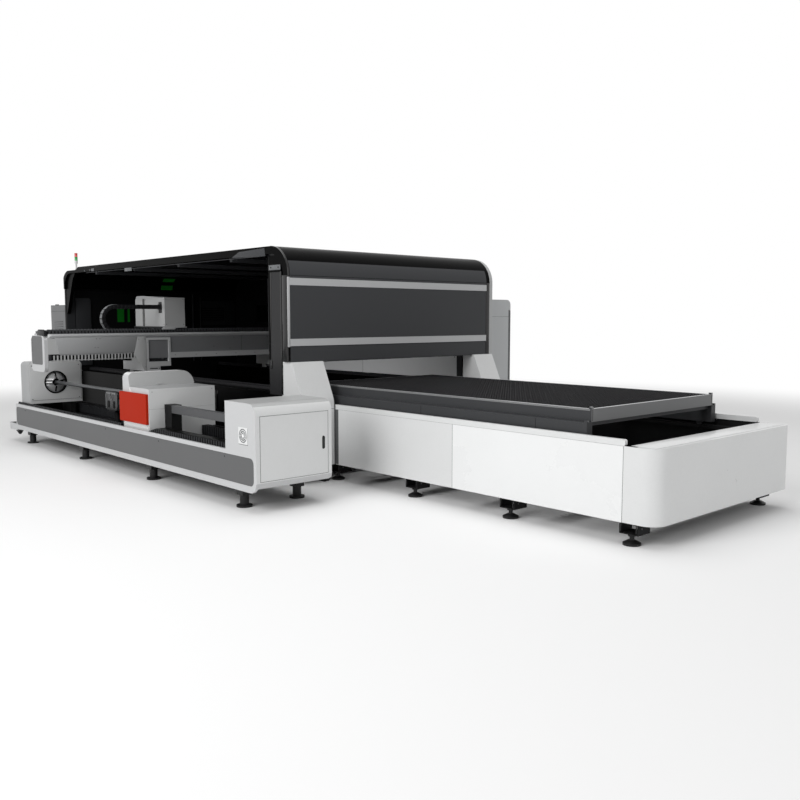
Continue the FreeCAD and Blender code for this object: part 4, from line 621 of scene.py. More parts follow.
# ---------------------------------------------------------------------------
# Studio
# ---------------------------------------------------------------------------
@dataclass
class Studio:
    """Camera, pale floor and soft light."""

    eye: Point = (7.0, -5.25, 1.41)
    heading: float = 47.541
    tilt: float = 5.54
    lens: float = 38.34
    floor_half: float = 60.0
    fade_start: float = 6.5
    fade_end: float = 12.0
    floor_shade: float = 0.94
    sky: float = 0.42
    aim: Point = (0.0, 0.0, 0.6)

    def build(self) -> None:
        """Set the camera, the floor, the world and the lamps."""
        bpy.context.scene.view_settings.view_transform = "Standard"
        self._camera()
        self._floor()
        self._world()
        self._lamp("key", (3.0, -11.0, 6.0), 7.0, 760.0)
        self._lamp("fill", (12.0, 2.0, 5.0), 6.0, 120.0)
        self._lamp("top", (0.0, 0.0, 11.0), 9.0, 380.0)

    def _camera(self) -> None:
        """Camera at eye height beside the exchange table."""
        data = bpy.data.cameras.new("eye")
        data.lens = self.lens
        data.clip_end = 300.0
        camera = bpy.data.objects.new("eye", data)
        camera.location = self.eye
        camera.rotation_euler = (math.radians(90.0 - self.tilt), 0.0, math.radians(self.heading))
        bpy.context.scene.collection.objects.link(camera)
        bpy.context.scene.camera = camera

    @staticmethod
    def _seen(nodes: Nodes) -> bpy.types.NodeSocket:
        """Value that is 1 for rays from the camera, in mirrors and through glass."""
        path = nodes.add("LightPath")
        both = nodes.math("MAXIMUM", path["Is Camera Ray"], path["Is Glossy Ray"])
        return nodes.math("MAXIMUM", both, path["Is Transmission Ray"])

    def _floor(self) -> None:
        """Plain pale floor that fades into the white background away from the machine."""
        mesh = bpy.data.meshes.new("floor")
        low, high = around(0.0, self.floor_half)
        corners = [(low, low, 0), (high, low, 0), (high, high, 0), (low, high, 0)]
        mesh.from_pydata(corners, [], [(0, 1, 2, 3)])
        floor = bpy.data.objects.new("floor", mesh)
        bpy.context.scene.collection.objects.link(floor)
        material = bpy.data.materials.new("pale_floor")
        material.use_nodes = True
        nodes = Nodes(material.node_tree)
        skin = material.node_tree.nodes["Principled BSDF"]
        nodes.feed(skin, {"Base Color": (self.floor_shade,) * 3, "Roughness": 0.9, "Specular IOR Level": 0.1})
        reach = nodes.add("VectorMath", {0: nodes.add("TexCoord")["Object"]}, operation="LENGTH")["Value"]
        fade = nodes.add("MapRange", {
            "Value": reach, "From Min": self.fade_start, "From Max": self.fade_end,
        }, interpolation_type="SMOOTHSTEP")["Result"]
        share = nodes.math("MULTIPLY", fade, self._seen(nodes))
        mixed = nodes.add("MixShader", {0: share, 1: skin.outputs[0], 2: nodes.add("Emission")[0]})[0]
        nodes.feed(material.node_tree.nodes["Material Output"], {"Surface": mixed})
        mesh.materials.append(material)

    def _world(self) -> None:
        """White background over a softer sky light."""
        world = bpy.data.worlds.new("studio")
        bpy.context.scene.world = world
        world.use_nodes = True
        nodes = Nodes(world.node_tree)
        strength = nodes.math("MULTIPLY_ADD", self._seen(nodes), 1.0 - self.sky, self.sky)
        nodes.feed(world.node_tree.nodes["Background"], {"Color": (1.0, 1.0, 1.0), "Strength": strength})

    def _lamp(self, name: str, place: Point, size: float, power: float) -> None:
        """Soft square lamp aimed at the machine.

        Args:
            name: Name of the lamp.
            place: Where it stands.
            size: Side of the square.
            power: Its power in watts.
        """
        data = bpy.data.lights.new(name, "AREA")
        data.size = size
        data.energy = power
        lamp = bpy.data.objects.new(name, data)
        lamp.location = place
        lamp.rotation_euler = (Vector(self.aim) - Vector(place)).to_track_quat("-Z", "Y").to_euler()
        bpy.context.scene.collection.objects.link(lamp)


# ---------------------------------------------------------------------------
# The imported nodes
# ---------------------------------------------------------------------------
BEYOND = 9.0
ALL: Span = (-BEYOND, BEYOND)
FACING_LEAST = 0.75
FRONT, NEAR_SIDE, UP = (1.0, 0.0, 0.0), (0.0, -1.0, 0.0), (0.0, 0.0, 1.0)
SLANT = (0.8, 0.0, 0.6)


def over(low: float) -> Span:
    """Span of everything over a place."""
    return low, BEYOND


def under(high: float) -> Span:
    """Span of everything under a place."""
    return -BEYOND, high


@dataclass(frozen=True)
class Zone:
    """Faces of a node with their own finish: their middles lie in a box, and they face one way."""

    finish: Finish
    x: Span = ALL
    y: Span = ALL
    z: Span = ALL
    facing: Point | None = None

    def holds(self, face: bpy.types.MeshPolygon) -> bool:
        """Whether a face belongs to this zone."""
        inside = all(low <= c <= high for (low, high), c in zip((self.x, self.y, self.z), face.center))
        if not inside or self.facing is None:
            return inside
        return face.normal.dot(Vector(self.facing)) > FACING_LEAST


NODE_ZONES: dict[str, tuple[Zone, ...]] = {
    "cutting_head": (Zone(BRASS, z=under(0.982)),),
    "signal_lenses": (Zone(RED_LENS, z=over(2.155)),),
    "rear_wall": (Zone(ROOF_BLACK, z=over(0.9), facing=NEAR_SIDE),),
    "tube_bed_frame": (
        Zone(BED_BLACK, (-3.285, 1.885), (-1.949, -1.311), (0.14, 0.437)),
        Zone(BED_BLACK, y=over(-1.32), z=over(0.14)),
    ),
    "main_frame": (Zone(FOOT_BLACK, z=under(0.149)),),
    "upper_pallet_frame": (
        Zone(FACE_GREY_AND_HIGHLIGHT, over(3.775), over(-0.70), over(0.700), FRONT),
        # Upward faces at the upper pallet's rim: painted highlight in a lighter metallic grey.
        Zone(PALLET_TOP_HIGHLIGHT, over(0.60), over(-0.70), over(0.786), UP),
    ),
    # Upward faces at the lower pallet's rim: painted highlight in a lighter metallic grey.
    "lower_pallet_frame": (Zone(PALLET_TOP_HIGHLIGHT, over(-4.0), over(-0.70), over(0.455), UP),),
    "gantry_beam": (
        Zone(SHADED_COAT, z=(1.190, 1.236)),
        Zone(TRIM_GREY, over(-2.095), z=(0.940, 1.012)),
        Zone(COVER_COAT, y=under(-0.834), z=(1.0, 1.20)),
    ),
    "beam_cover": (Zone(CHAIN_NYLON, z=under(1.019)),),
    "beam_end_cap": (
        Zone(PANEL_GREY, (-2.476, -2.15), (-1.9675, -1.965), (0.90, 1.213), NEAR_SIDE),
    ),
    # Front faces of the white rear chuck housing keep the white coat; the rest of it takes the tray grey as
    # painted shade.
    "rear_chuck_housing": (
        Zone(BED_BLACK, z=under(0.440)),
        Zone(WHITE_COAT, over(-2.7215), z=over(0.34), facing=FRONT),
    ),
    "unloading_bar": (Zone(BED_BLACK, under(0.297), z=under(0.652)),),
    "tube_support": (Zone(BED_BLACK, z=under(0.497)),),
    "electrical_cabinet": (Zone(PANEL_GREY, z=over(1.50), facing=UP),),
    "end_box_shell": (
        # Painted shade on the white box: its near side takes the shaded coat and its upward faces the darker
        # cover coat.
        Zone(SHADED_COAT, z=over(0.40), facing=NEAR_SIDE),
        Zone(COVER_COAT, z=over(0.70), facing=UP),
    ),
    "front_chuck_housing": (
        # Painted shade on the white housing: its sloped front takes the cover coat, its top ledge the tray
        # grey and its near side the shaded coat.
        Zone(COVER_COAT, y=under(-1.30), z=over(0.797), facing=SLANT),
        Zone(TRAY_GREY, over(-0.25), z=(0.790, 0.800), facing=UP),
        Zone(SHADED_COAT, z=over(0.62), facing=NEAR_SIDE),
        Zone(BED_BLACK, z=under(0.345)),
    ),
    "end_box_door": (Zone(GLOSS_BLACK, (1.885, 1.8995), (-1.42, -1.34), (0.40, 0.54)),),
    "head_slide_plate": (Zone(TRIM_GREY, over(-2.102), z=over(1.28), facing=FRONT),),
}


@dataclass
class PackedNodes:
    """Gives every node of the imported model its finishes."""

    effects: Effects

    def dress(self) -> None:
        """Dress each node by its own finish, or by its slot's, and then by its zones."""
        for part in frame["record"]["subparts"]:
            name = part["node"]
            mesh = frame["nodes"][name].data
            zones = NODE_ZONES.get(name, ())
            base = NODE_FINISH.get(name, SLOT_FINISH[part["material_slot"]])
            mesh.materials.clear()
            for finish in (base, *(zone.finish for zone in zones)):
                mesh.materials.append(finish.dressed(self.effects))
            for face in mesh.polygons:
                face.material_index = next((i for i, zone in enumerate(zones, 1) if zone.holds(face)), 0)
        log.info("nodes dressed: %d", len(frame["nodes"]))

# ---------------------------------------------------------------------------
# Sub-assemblies
# ---------------------------------------------------------------------------
def piece(name: str, body: str, slot: str, base: Finish, *replaced: str) -> Callable[[Callable], Callable]:
    """Decorate a method that shapes one piece.

    Args:
        name: Name of the piece, with braces where the method's first value goes.
        body: Name of the body that it rides on, with braces in the same way.
        slot: Material slot of the record.
        base: Finish of the shapes that name no other.
        *replaced: Nodes that the piece stands for.

    Returns:
        The decorator.
    """
    def decorated(shape: Callable) -> Callable:
        """Method that gives the shaping one an empty piece and finishes it."""
        @functools.wraps(shape)
        def shaped(self: "Assembly", *values: str | float) -> bpy.types.Object:
            """Shape and finish the piece."""
            shaper = Shaper(name.format(*values), base)
            shape(self, shaper, *values)
            return shaper.finished(self.effects, body.format(*values), slot, *replaced)
        shaped.is_piece = True
        return shaped
    return decorated


@dataclass
class Assembly:
    """A group of pieces that share the effects."""

    effects: Effects

    def build(self) -> None:
        """Build the pieces, in the order that the class lists them."""
        for method in vars(type(self)).values():
            if getattr(method, "is_piece", False):
                method(self)


@dataclass
class CellFront(Assembly):
    """Rounded front of the cell: upper panel, arc rims, edge strips and post trim."""

    hood_face: float = 1.050
    shoulder: float = 1.763
    radius: float = 0.255
    near: float = -1.060
    far: float = 1.406
    panel_top_angle: float = 29.0
    rim_lift: float = 0.0015

    def _band(self, lift: float, start: float, end: float, sunk: float = 0.001) -> Outline:
        """Thin curved strip on the front arc.

        Args:
            lift: How far it stands out of the roof.
            start: First angle in degrees, from the hood's face.
            end: Last angle.
            sunk: How far its back lies under the roof's skin.

        Returns:
            The strip's outline seen from the side.
        """
        centre = (self.hood_face - self.radius, self.shoulder)
        outer = arc(centre, self.radius + lift, start, end, 14)
        inner = arc(centre, self.radius - sunk, end, start, 14)
        return outer + inner

    @piece("hood_upper_panel", "machine", "dark_paint", HOOD_GREY)
    def _upper_panel(self, shaper: Shaper) -> None:
        """Grey panel that goes on up the front arc."""
        outline = self._band(self.rim_lift, 0.4, self.panel_top_angle)
        shaper.prism(Y, outline, self.near + 0.002, self.far - 0.002)

    @piece("roof_near_bead", "machine", "black_paint", GLOSS_BLACK)
    def _near_rim(self, shaper: Shaper) -> None:
        """Gloss black bead round the near end of the front arc."""
        centre = (self.hood_face - self.radius, self.shoulder)
        outline = arc(centre, self.radius + 0.0015, 0, 90, 20) + arc(centre, self.radius - 0.02, 90, 0, 20)
        shaper.prism(Y, outline, -1.0835, -1.0625, edge=0.001)

    @piece("hood_near_strips", "machine", "black_paint", GLOSS_BLACK)
    def _near_strips(self, shaper: Shaper) -> None:
        """Black edge strip and thin light strip down the near edge of the hood."""
        shaper.block((0.965, -1.0835, 1.032), (1.0485, -1.0605, self.shoulder), edge=0.002)
        shaper.block((1.0425, -1.0838, 1.160), (1.0498, -1.0612, 1.749), TRIM_GREY, 0.001)

    @piece("hood_far_strip", "machine", "black_paint", GLOSS_BLACK)
    def _far_strip(self, shaper: Shaper) -> None:
        """Black edge strip down the far edge of the hood."""
        shaper.block((0.992, 1.4065, 1.032), (1.046, 1.4525, self.shoulder), edge=0.002)
        shaper.block((1.044, 1.3985, 1.032), (1.0512, 1.4525, self.shoulder), edge=0.001)

    @piece("hood_joints", "machine", "dark_paint", CELL_BLACK)
    def _panel_joints(self, shaper: Shaper) -> None:
        """Shut line under the curved panel and the folded lip at the hood's foot."""
        face = self.hood_face
        shaper.block((face - 0.001, self.near + 0.01, 1.7605), (face + 0.0004, self.far - 0.01, 1.7635))
        shaper.block((face - 0.001, self.near + 0.01, 1.1600), (face + 0.0004, self.far - 0.01, 1.1625))
        shaper.block((face - 0.052, self.near + 0.004, 1.024), (face - 0.004, self.far - 0.004, 1.0295),
                     CELL_GREY, 0.001)

    @piece("post_trim", "machine", "black_paint", GLOSS_BLACK)
    def _post_trim(self, shaper: Shaper) -> None:
        """Gloss black tube and small brackets on the near front post."""
        shaper.block((0.914, -1.0675, 0.745), (0.936, -1.0535, 1.80), edge=0.004)
        shaper.block((0.745, -1.0635, 1.815), (0.916, -1.0595, 1.857), CHAIN_BAND, 0.001)
        shaper.block((0.736, -1.0640, 1.796), (0.926, -1.0595, 1.812), ROOF_BLACK)
        shaper.block((0.736, -1.0620, 1.860), (0.930, -1.0595, 1.940), ROOF_BLACK)
        shaper.block((0.7295, -1.0625, 1.040), (0.754, -1.0590, 1.795), ROOF_BLACK)
        shaper.screws(Y, product((0.775, 0.886), (1.836,)), -1.0635, -1.0, 0.007)
        wedge = [(0.7305, 1.795), (0.784, 1.795), (0.772, 1.390), (0.742, 1.180), (0.7305, 1.120)]
        shaper.prism(Y, wedge, -1.0615, -1.0595)
        shaper.block((0.724, -1.0620, 1.120), (0.7300, -1.0100, 1.745), CELL_GREY, 0.001)
        shaper.block((0.755, -1.0640, 0.960), (0.775, -1.0595, 1.035), edge=0.002)


@dataclass
class Gantry(Assembly):
    """Details of the cross beam: tray cover, ribbed covers, chain, end cap and carriages."""

    face: float = -2.100
    near: float = -1.932
    far: float = 1.203
    plate_top: float = 1.235
    plate_low: float = 1.195
    cover_low: float = 1.020
    cover_proud: float = 0.012
    cover_far: float = -0.940
    slant: float = 0.045
    rib_low: float = 0.948
    rib_pitch: float = 0.037
    rib_width: float = 0.015
    link_pitch: float = 0.036
    chain_width: float = 0.055
    chain_height: float = 0.048

    @piece("beam_tray_cover", "gantry", "white_paint", TRAY_GREY, "beam_cover")
    def _tray_cover(self, shaper: Shaper) -> None:
        """Folded cover with slanted ends over a strip of ribs."""
        x0, x1 = self.face + 0.0005, self.face + self.cover_proud
        y0, y1 = self.near + 0.07, self.cover_far
        s = self.slant
        sheet = [(y0, self.plate_low), (y0 + s, self.cover_low), (y1 - s, self.cover_low),
                 (y1, self.plate_low)]
        shaper.prism(X, sheet, x0, x1, edge=0.002)
        lip = [(y0 + s, self.cover_low), (y0 + s + 0.02, self.cover_low - 0.012),
               (y1 - s - 0.02, self.cover_low - 0.012), (y1 - s, self.cover_low)]
        shaper.prism(X, lip, x0 - 0.06, x0 + 0.004)
        strip_near, strip_far = self.near + 0.0005, y1 - s * 0.4
        shaper.block((self.face - 0.0945, strip_near, self.rib_low + 0.012),
                     (self.face + 0.001, strip_far, self.cover_low - 0.002), CELL_BLACK)
        for y in paces(strip_near + 0.02, strip_far - 0.02, self.rib_pitch):
            half = self.rib_width / 2
            outline = [(y - half, self.cover_low - 0.012), (y - half * 0.9, self.rib_low),
                       (y + half * 0.6, self.rib_low), (y + half, self.cover_low - 0.012)]
            shaper.prism(X, outline, self.face - 0.09, x1 - 0.002, COVER_COAT)
        shaper.screws(X, ((-1.430, 1.082), (-1.398, 1.082), (-1.412, 1.178), (-1.373, 1.178)), x1, 1.0, 0.005,
                      SCREW_STEEL)

    @piece("cover_flank_plate", "gantry", "white_paint", COVER_COAT)
    def _cover_flank(self, shaper: Shaper) -> None:
        """Light plate between the tray cover and the near carriage."""
        sheet = [(-0.940, 1.193), (-0.8345, 1.193), (-0.8345, 0.806), (-0.862, 0.806), (-0.938, 0.925),
                 (-0.985, 1.000)]
        shaper.prism(X, sheet, self.face + 0.0005, self.face + 0.0105, edge=0.0015)
        shaper.screws(X, ((-0.925, 1.165), (-0.850, 1.165), (-0.850, 0.85)), self.face + 0.0105, 1.0, 0.005,
                      SCREW_STEEL)

    @piece("beam_chain_links", "gantry", "chain_plastic", CELL_BLACK, "beam_cable_chain")
    def _beam_chain(self, shaper: Shaper) -> None:
        """Ribbed chain along the front edge of the beam's top."""
        x0, x1 = self.face - self.chain_width, self.face
        z0, z1 = self.plate_top + 0.0003, self.plate_top + self.chain_height
        shaper.block((x0 + 0.004, self.near, z0), (x1 - 0.004, self.far, z0 + 0.026), edge=0.002)
        half = self.link_pitch * 0.29
        for y in paces(self.near + 0.025, self.far - 0.025, self.link_pitch):
            for x in (x0, x1 - 0.005):
                shaper.block((x, y - half, z0), (x + 0.005, y + half, z1 - 0.002), HOOD_GREY, 0.001)
            shaper.block((x0 + 0.003, y - half * 0.9, z0 + 0.024), (x1 - 0.003, y + half * 0.9, z1),
                         HOOD_GREY, 0.003)

    @piece("chain_end_bracket", "gantry", "chain_plastic", CHAIN_NYLON)
    def _chain_end(self, shaper: Shaper) -> None:
        """Black bracket that holds the chain over the end cap, with its sloped end."""
        outline = [(-2.300, 1.2355), (-2.290, 1.268), (-2.255, 1.283), (-2.100, 1.283), (-2.100, 1.2355)]
        shaper.prism(Y, outline, -1.9680, -1.964, edge=0.001)
        shaper.block((-2.300, -1.9680, 1.2185), (-2.100, -1.9325, 1.2355), edge=0.001)
        shaper.block((-2.2050, -1.964, 1.2355), (-2.1000, -1.9325, 1.276), edge=0.003)
        shaper.screws(Y, product((-2.27, -2.13), (1.250,)), -1.9680, -1.0, 0.004, SCREW_STEEL)

    @piece("end_cap_details", "gantry", "dark_paint", CELL_GREY)
    def _end_cap_edge(self, shaper: Shaper) -> None:
        """Shut line and screws where the end cap meets the beam."""
        outer = eased(-2.4795, self.face - 0.0005, 0.8355, 1.2165, 0.055, 8)
        shaper.prism(Y, outer, -1.9318, -1.9302)
        shaper.screws(Y, ((-2.44, 0.868), (-2.14, 0.868)), -1.9690, -0.2, 0.006, SCREW_STEEL)
        shaper.block((-2.101, -1.9315, 0.955), (-2.0885, -1.902, 1.016), edge=0.001)

    @piece("beam_front_details", "gantry", "chuck_grey", SCREW_STEEL)
    def _beam_screws(self, shaper: Shaper) -> None:
        """Screws and joints along the beam's front face."""
        shaper.screws(X, ((0.259, 1.037), (0.038, 1.066), (0.318, 1.170), (0.80, 1.066), (0.80, 1.170)),
                      self.face, 1.0, 0.006)
        shaper.screws(X, product(paces(-0.48, 1.15, 0.27), (0.976,)), -2.090, 1.0, 0.005)
        shaper.plate(X, self.face, 0.0006, (0.420, 0.4225), (1.010, 1.193), CELL_GREY)

    @piece("carriage_window_parts", "gantry", "chuck_grey", CELL_GREY)
    def _carriage_window(self, shaper: Shaper) -> None:
        """Machined parts in the recess of the near carriage, and the slots under it."""
        back = -2.1205
        shaper.block((back - 0.0010, -0.8065, 0.9055), (back + 0.001, -0.5625, 1.1535))
        shaper.block((back, -0.806, 1.060), (back + 0.012, -0.715, 1.076), CHUCK_GREY, 0.001)
        shaper.block((back, -0.806, 1.092), (back + 0.006, -0.640, 1.098), CHUCK_GREY, 0.001)
        shaper.block((back, -0.640, 0.930), (back + 0.010, -0.615, 1.060), CHUCK_GREY, 0.002)
        shaper.ring(X, (-0.672, 0.962), 0.021, 0.012, back, back + 0.012, GROUND_STEEL, 24)
        shaper.rod(X, (-0.672, 0.962), 0.008, back, back + 0.008, CHUCK_GREY, 0.001, 16)
        shaper.screws(X, product((-0.79, -0.58), (0.925, 1.138)), back + 0.001, 1.0, 0.005, GROUND_STEEL)
        front = -2.0902
        for y0, y1 in ((-0.799, -0.700), (-0.690, -0.672)):
            shaper.block((front - 0.004, y0, 0.822), (front + 0.0006, y1, 0.832), CELL_BLACK)
        shaper.block((front - 0.002, -0.799, 0.841), (front + 0.0008, -0.672, 0.8435), CHUCK_GREY)
        shaper.screws(X, product((-0.822, -0.548), (0.93, 1.13)), front, 1.0, 0.004, GROUND_STEEL)

    @piece("gantry_rear_parts", "gantry", "chuck_grey", CHUCK_GREY)
    def _rear_details(self, shaper: Shaper) -> None:
        """Drive motors and gearboxes behind the carriages, and a service cover on the beam's back."""
        for y, z0 in ((-0.700, 0.9005), (1.115, 0.9455)):
            shaper.block((-2.655, y - 0.048, z0), (-2.535, y + 0.048, z0 + 0.016), edge=0.002)
            shaper.rod(Z, (-2.595, y), 0.043, z0 + 0.016, z0 + 0.060, edge=0.003, sides=32)
            shaper.block((-2.635, y - 0.040, z0 + 0.060), (-2.555, y + 0.040, z0 + 0.190), CHAIN_NYLON, 0.006)
            shaper.rod(Z, (-2.595, y), 0.033, z0 + 0.190, z0 + 0.214, CHAIN_NYLON, 0.004, 28)
        cover = eased(-0.30, 0.90, 1.00, 1.165, 0.02)
        shaper.prism(X, cover, -2.4835, -2.4802, COVER_COAT, 0.001)
        shaper.screws(X, product((-0.28, 0.10, 0.50, 0.88), (1.015, 1.150)), -2.4835, -1.0, 0.005,
                      SCREW_STEEL)


@dataclass
class Head(Assembly):
    """Cutting head's carriage: cap, seams, chain with its connector, and the head's fittings."""

    near: float = -0.595
    far: float = -0.339
    left: float = -2.847
    right: float = -2.100
    top: float = 1.638
    chain_low: float = 1.235
    chain_high: float = 1.553
    chain_x: float = -2.220
    chain_width: float = 0.055
    chain_height: float = 0.048
    bend_y: float = -1.1535
    bend_radius: float = 0.159
    lower_run: float = 0.470
    link_pitch: float = 0.045

    def build(self) -> None:
        """Build the head's pieces, and the chain, which rides on no body."""
        self._box_details()
        self._chain()
        self._connector()
        self._slide_front()
        self._fittings()

    @piece("head_box_details", "head_carriage", "white_paint", SHADED_COAT)
    def _box_details(self, shaper: Shaper) -> None:
        """Domed cap, seam groove and screws of the head's cover."""
        crown = self.top + 0.026
        dome = [(-2.841, 1.560), (-2.841, self.top), *arc((-2.806, crown - 0.035), 0.035, 175, 90, 6)]
        dome += [(-2.650, crown), (-2.240, self.top + 0.004), (-2.240, self.top + 0.0003),
                 (-2.655, self.top + 0.0003), (-2.655, 1.560)]
        shaper.prism(Y, dome, self.near + 0.004, self.far - 0.004, edge=0.002)
        shaper.block((-2.658, self.near - 0.0006, 1.304), (-2.603, self.near + 0.0012, self.top - 0.01),
                     GLOSS_BLACK)
        shaper.block((self.left + 0.01, self.near - 0.0004, 1.303),
                     (self.right - 0.004, self.near + 0.001, 1.306), GLOSS_BLACK)
        shaper.screws(Y, product((-2.12, -2.58), (1.33, 1.62)), self.near, -1.0, 0.005, SCREW_STEEL)
        shaper.screws(X, product((self.near + 0.02, self.far - 0.02), (1.33, 1.62)), self.right, 1.0, 0.005,
                      SCREW_STEEL)

    def _places(self) -> list[tuple[Vector, float]]:
        """Middle and lean of each chain link, from the lower run round the bend."""
        mid = self.bend_radius - self.chain_height / 2
        z_mid = (self.chain_low + self.chain_high) / 2
        low = self.bend_y + self.lower_run
        places = []
        for y in paces(low - 0.02, self.bend_y, self.link_pitch):
            places.append((Vector((0.0, y, z_mid - mid)), math.pi))
        count = max(2, round(math.pi * mid / self.link_pitch))
        for a in steps(-90.0, -270.0, count + 1)[1:-1]:
            angle = math.radians(a)
            middle = Vector((0.0, self.bend_y + mid * math.cos(angle), z_mid + mid * math.sin(angle)))
            places.append((middle, angle - math.pi / 2))
        for y in paces(self.bend_y, self.near - 0.022, self.link_pitch):
            places.append((Vector((0.0, y, z_mid + mid)), 0.0))
        return places

    def _chain(self) -> None:
        """Drag chain of separate links, stretched between the beam and the head."""
        shaper = Shaper("head_drag_chain", CHAIN_NYLON)
        x0, x1 = self.chain_x, self.chain_x + self.chain_width
        half = self.link_pitch / 2
        tall = self.chain_height / 2
        for middle, lean in self._places():
            turn = Matrix.Translation(middle) @ Matrix.Rotation(lean, 4, "X")
            for x in (x0, x1 - 0.007):
                shaper.block((x, -half, -tall * 0.96), (x + 0.007, half, tall * 0.92), edge=0.003, turn=turn)
            # Links on the bend take the lighter band as painted highlight on the curve; the straight runs
            # stay black.
            band = CHAIN_BAND if middle.y < self.bend_y + 0.01 else CHAIN_NYLON
            shaper.block((x0 + 0.001, -half * 1.04, tall * 0.80), (x1 - 0.001, half * 1.04, tall), band,
                         turn=turn)
            shaper.block((x0 + 0.007, -half * 0.5, -tall), (x1 - 0.007, half * 0.5, -tall * 0.82), edge=0.001,
                         turn=turn)
        piece = shaper.finished(self.effects, "", "chain_plastic", "head_chain_loop")
        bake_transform(piece)

    @piece("chain_clamp", "head_carriage", "chain_plastic", CHAIN_NYLON)
    def _connector(self, shaper: Shaper) -> None:
        """Black clamp that holds the chain's end on the head's cover."""
        outline = eased(-2.236, -2.169, 1.460, 1.587, 0.006)
        shaper.prism(Y, outline, self.near - 0.006, self.near - 0.0005, edge=0.001)
        shaper.block((-2.226, self.near - 0.022, 1.498), (-2.159, self.near - 0.006, 1.560), edge=0.003)
        shaper.screws(Y, product((-2.222, -2.183), (1.474, 1.573)), self.near - 0.006, -1.0, 0.0045,
                      SCREW_STEEL)

    @piece("slide_front_plate", "head_carriage", "frame_paint", TRIM_GREY)
    def _slide_front(self, shaper: Shaper) -> None:
        """Light front edge of the cross slide and its wedge plate."""
        outline = [(-0.618, 1.3015), (-0.640, 1.272), (-0.484, 1.270), (-0.450, 1.290), (-0.316, 1.3015)]
        shaper.prism(X, outline, self.right + 0.0005, self.right + 0.0075, edge=0.001)
        shaper.screws(X, product((-0.59, -0.47, -0.35), (1.2955,)), self.right + 0.0075, 1.0, 0.0035,
                      SCREW_STEEL)

    @piece("cutting_head_fittings", "cutting_head", "nozzle", CHUCK_GREY)
    def _fittings(self, shaper: Shaper) -> None:
        """Gas ports, fibre connector and clamp rings of the cutting head."""
        low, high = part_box("cutting_head")
        y = (low[1] + high[1]) / 2
        for z, finish in ((1.045, CHUCK_GREY), (1.120, GROUND_STEEL), (1.200, CHUCK_GREY)):
            shaper.ring(Z, (-2.598, y), 0.0525, 0.047, z, z + 0.010, finish, 36)
        shaper.rod(Y, (-2.598, 1.070), 0.011, y - 0.074, y - 0.047, BRASS, 0.002, 18)
        shaper.rod(Y, (-2.598, 1.103), 0.009, y - 0.070, y - 0.047, GROUND_STEEL, 0.002, 18)
        shaper.rod(Z, (-2.598, y), 0.024, high[2] - 0.0005, high[2] + 0.012, CELL_BLACK, 0.003, 28)


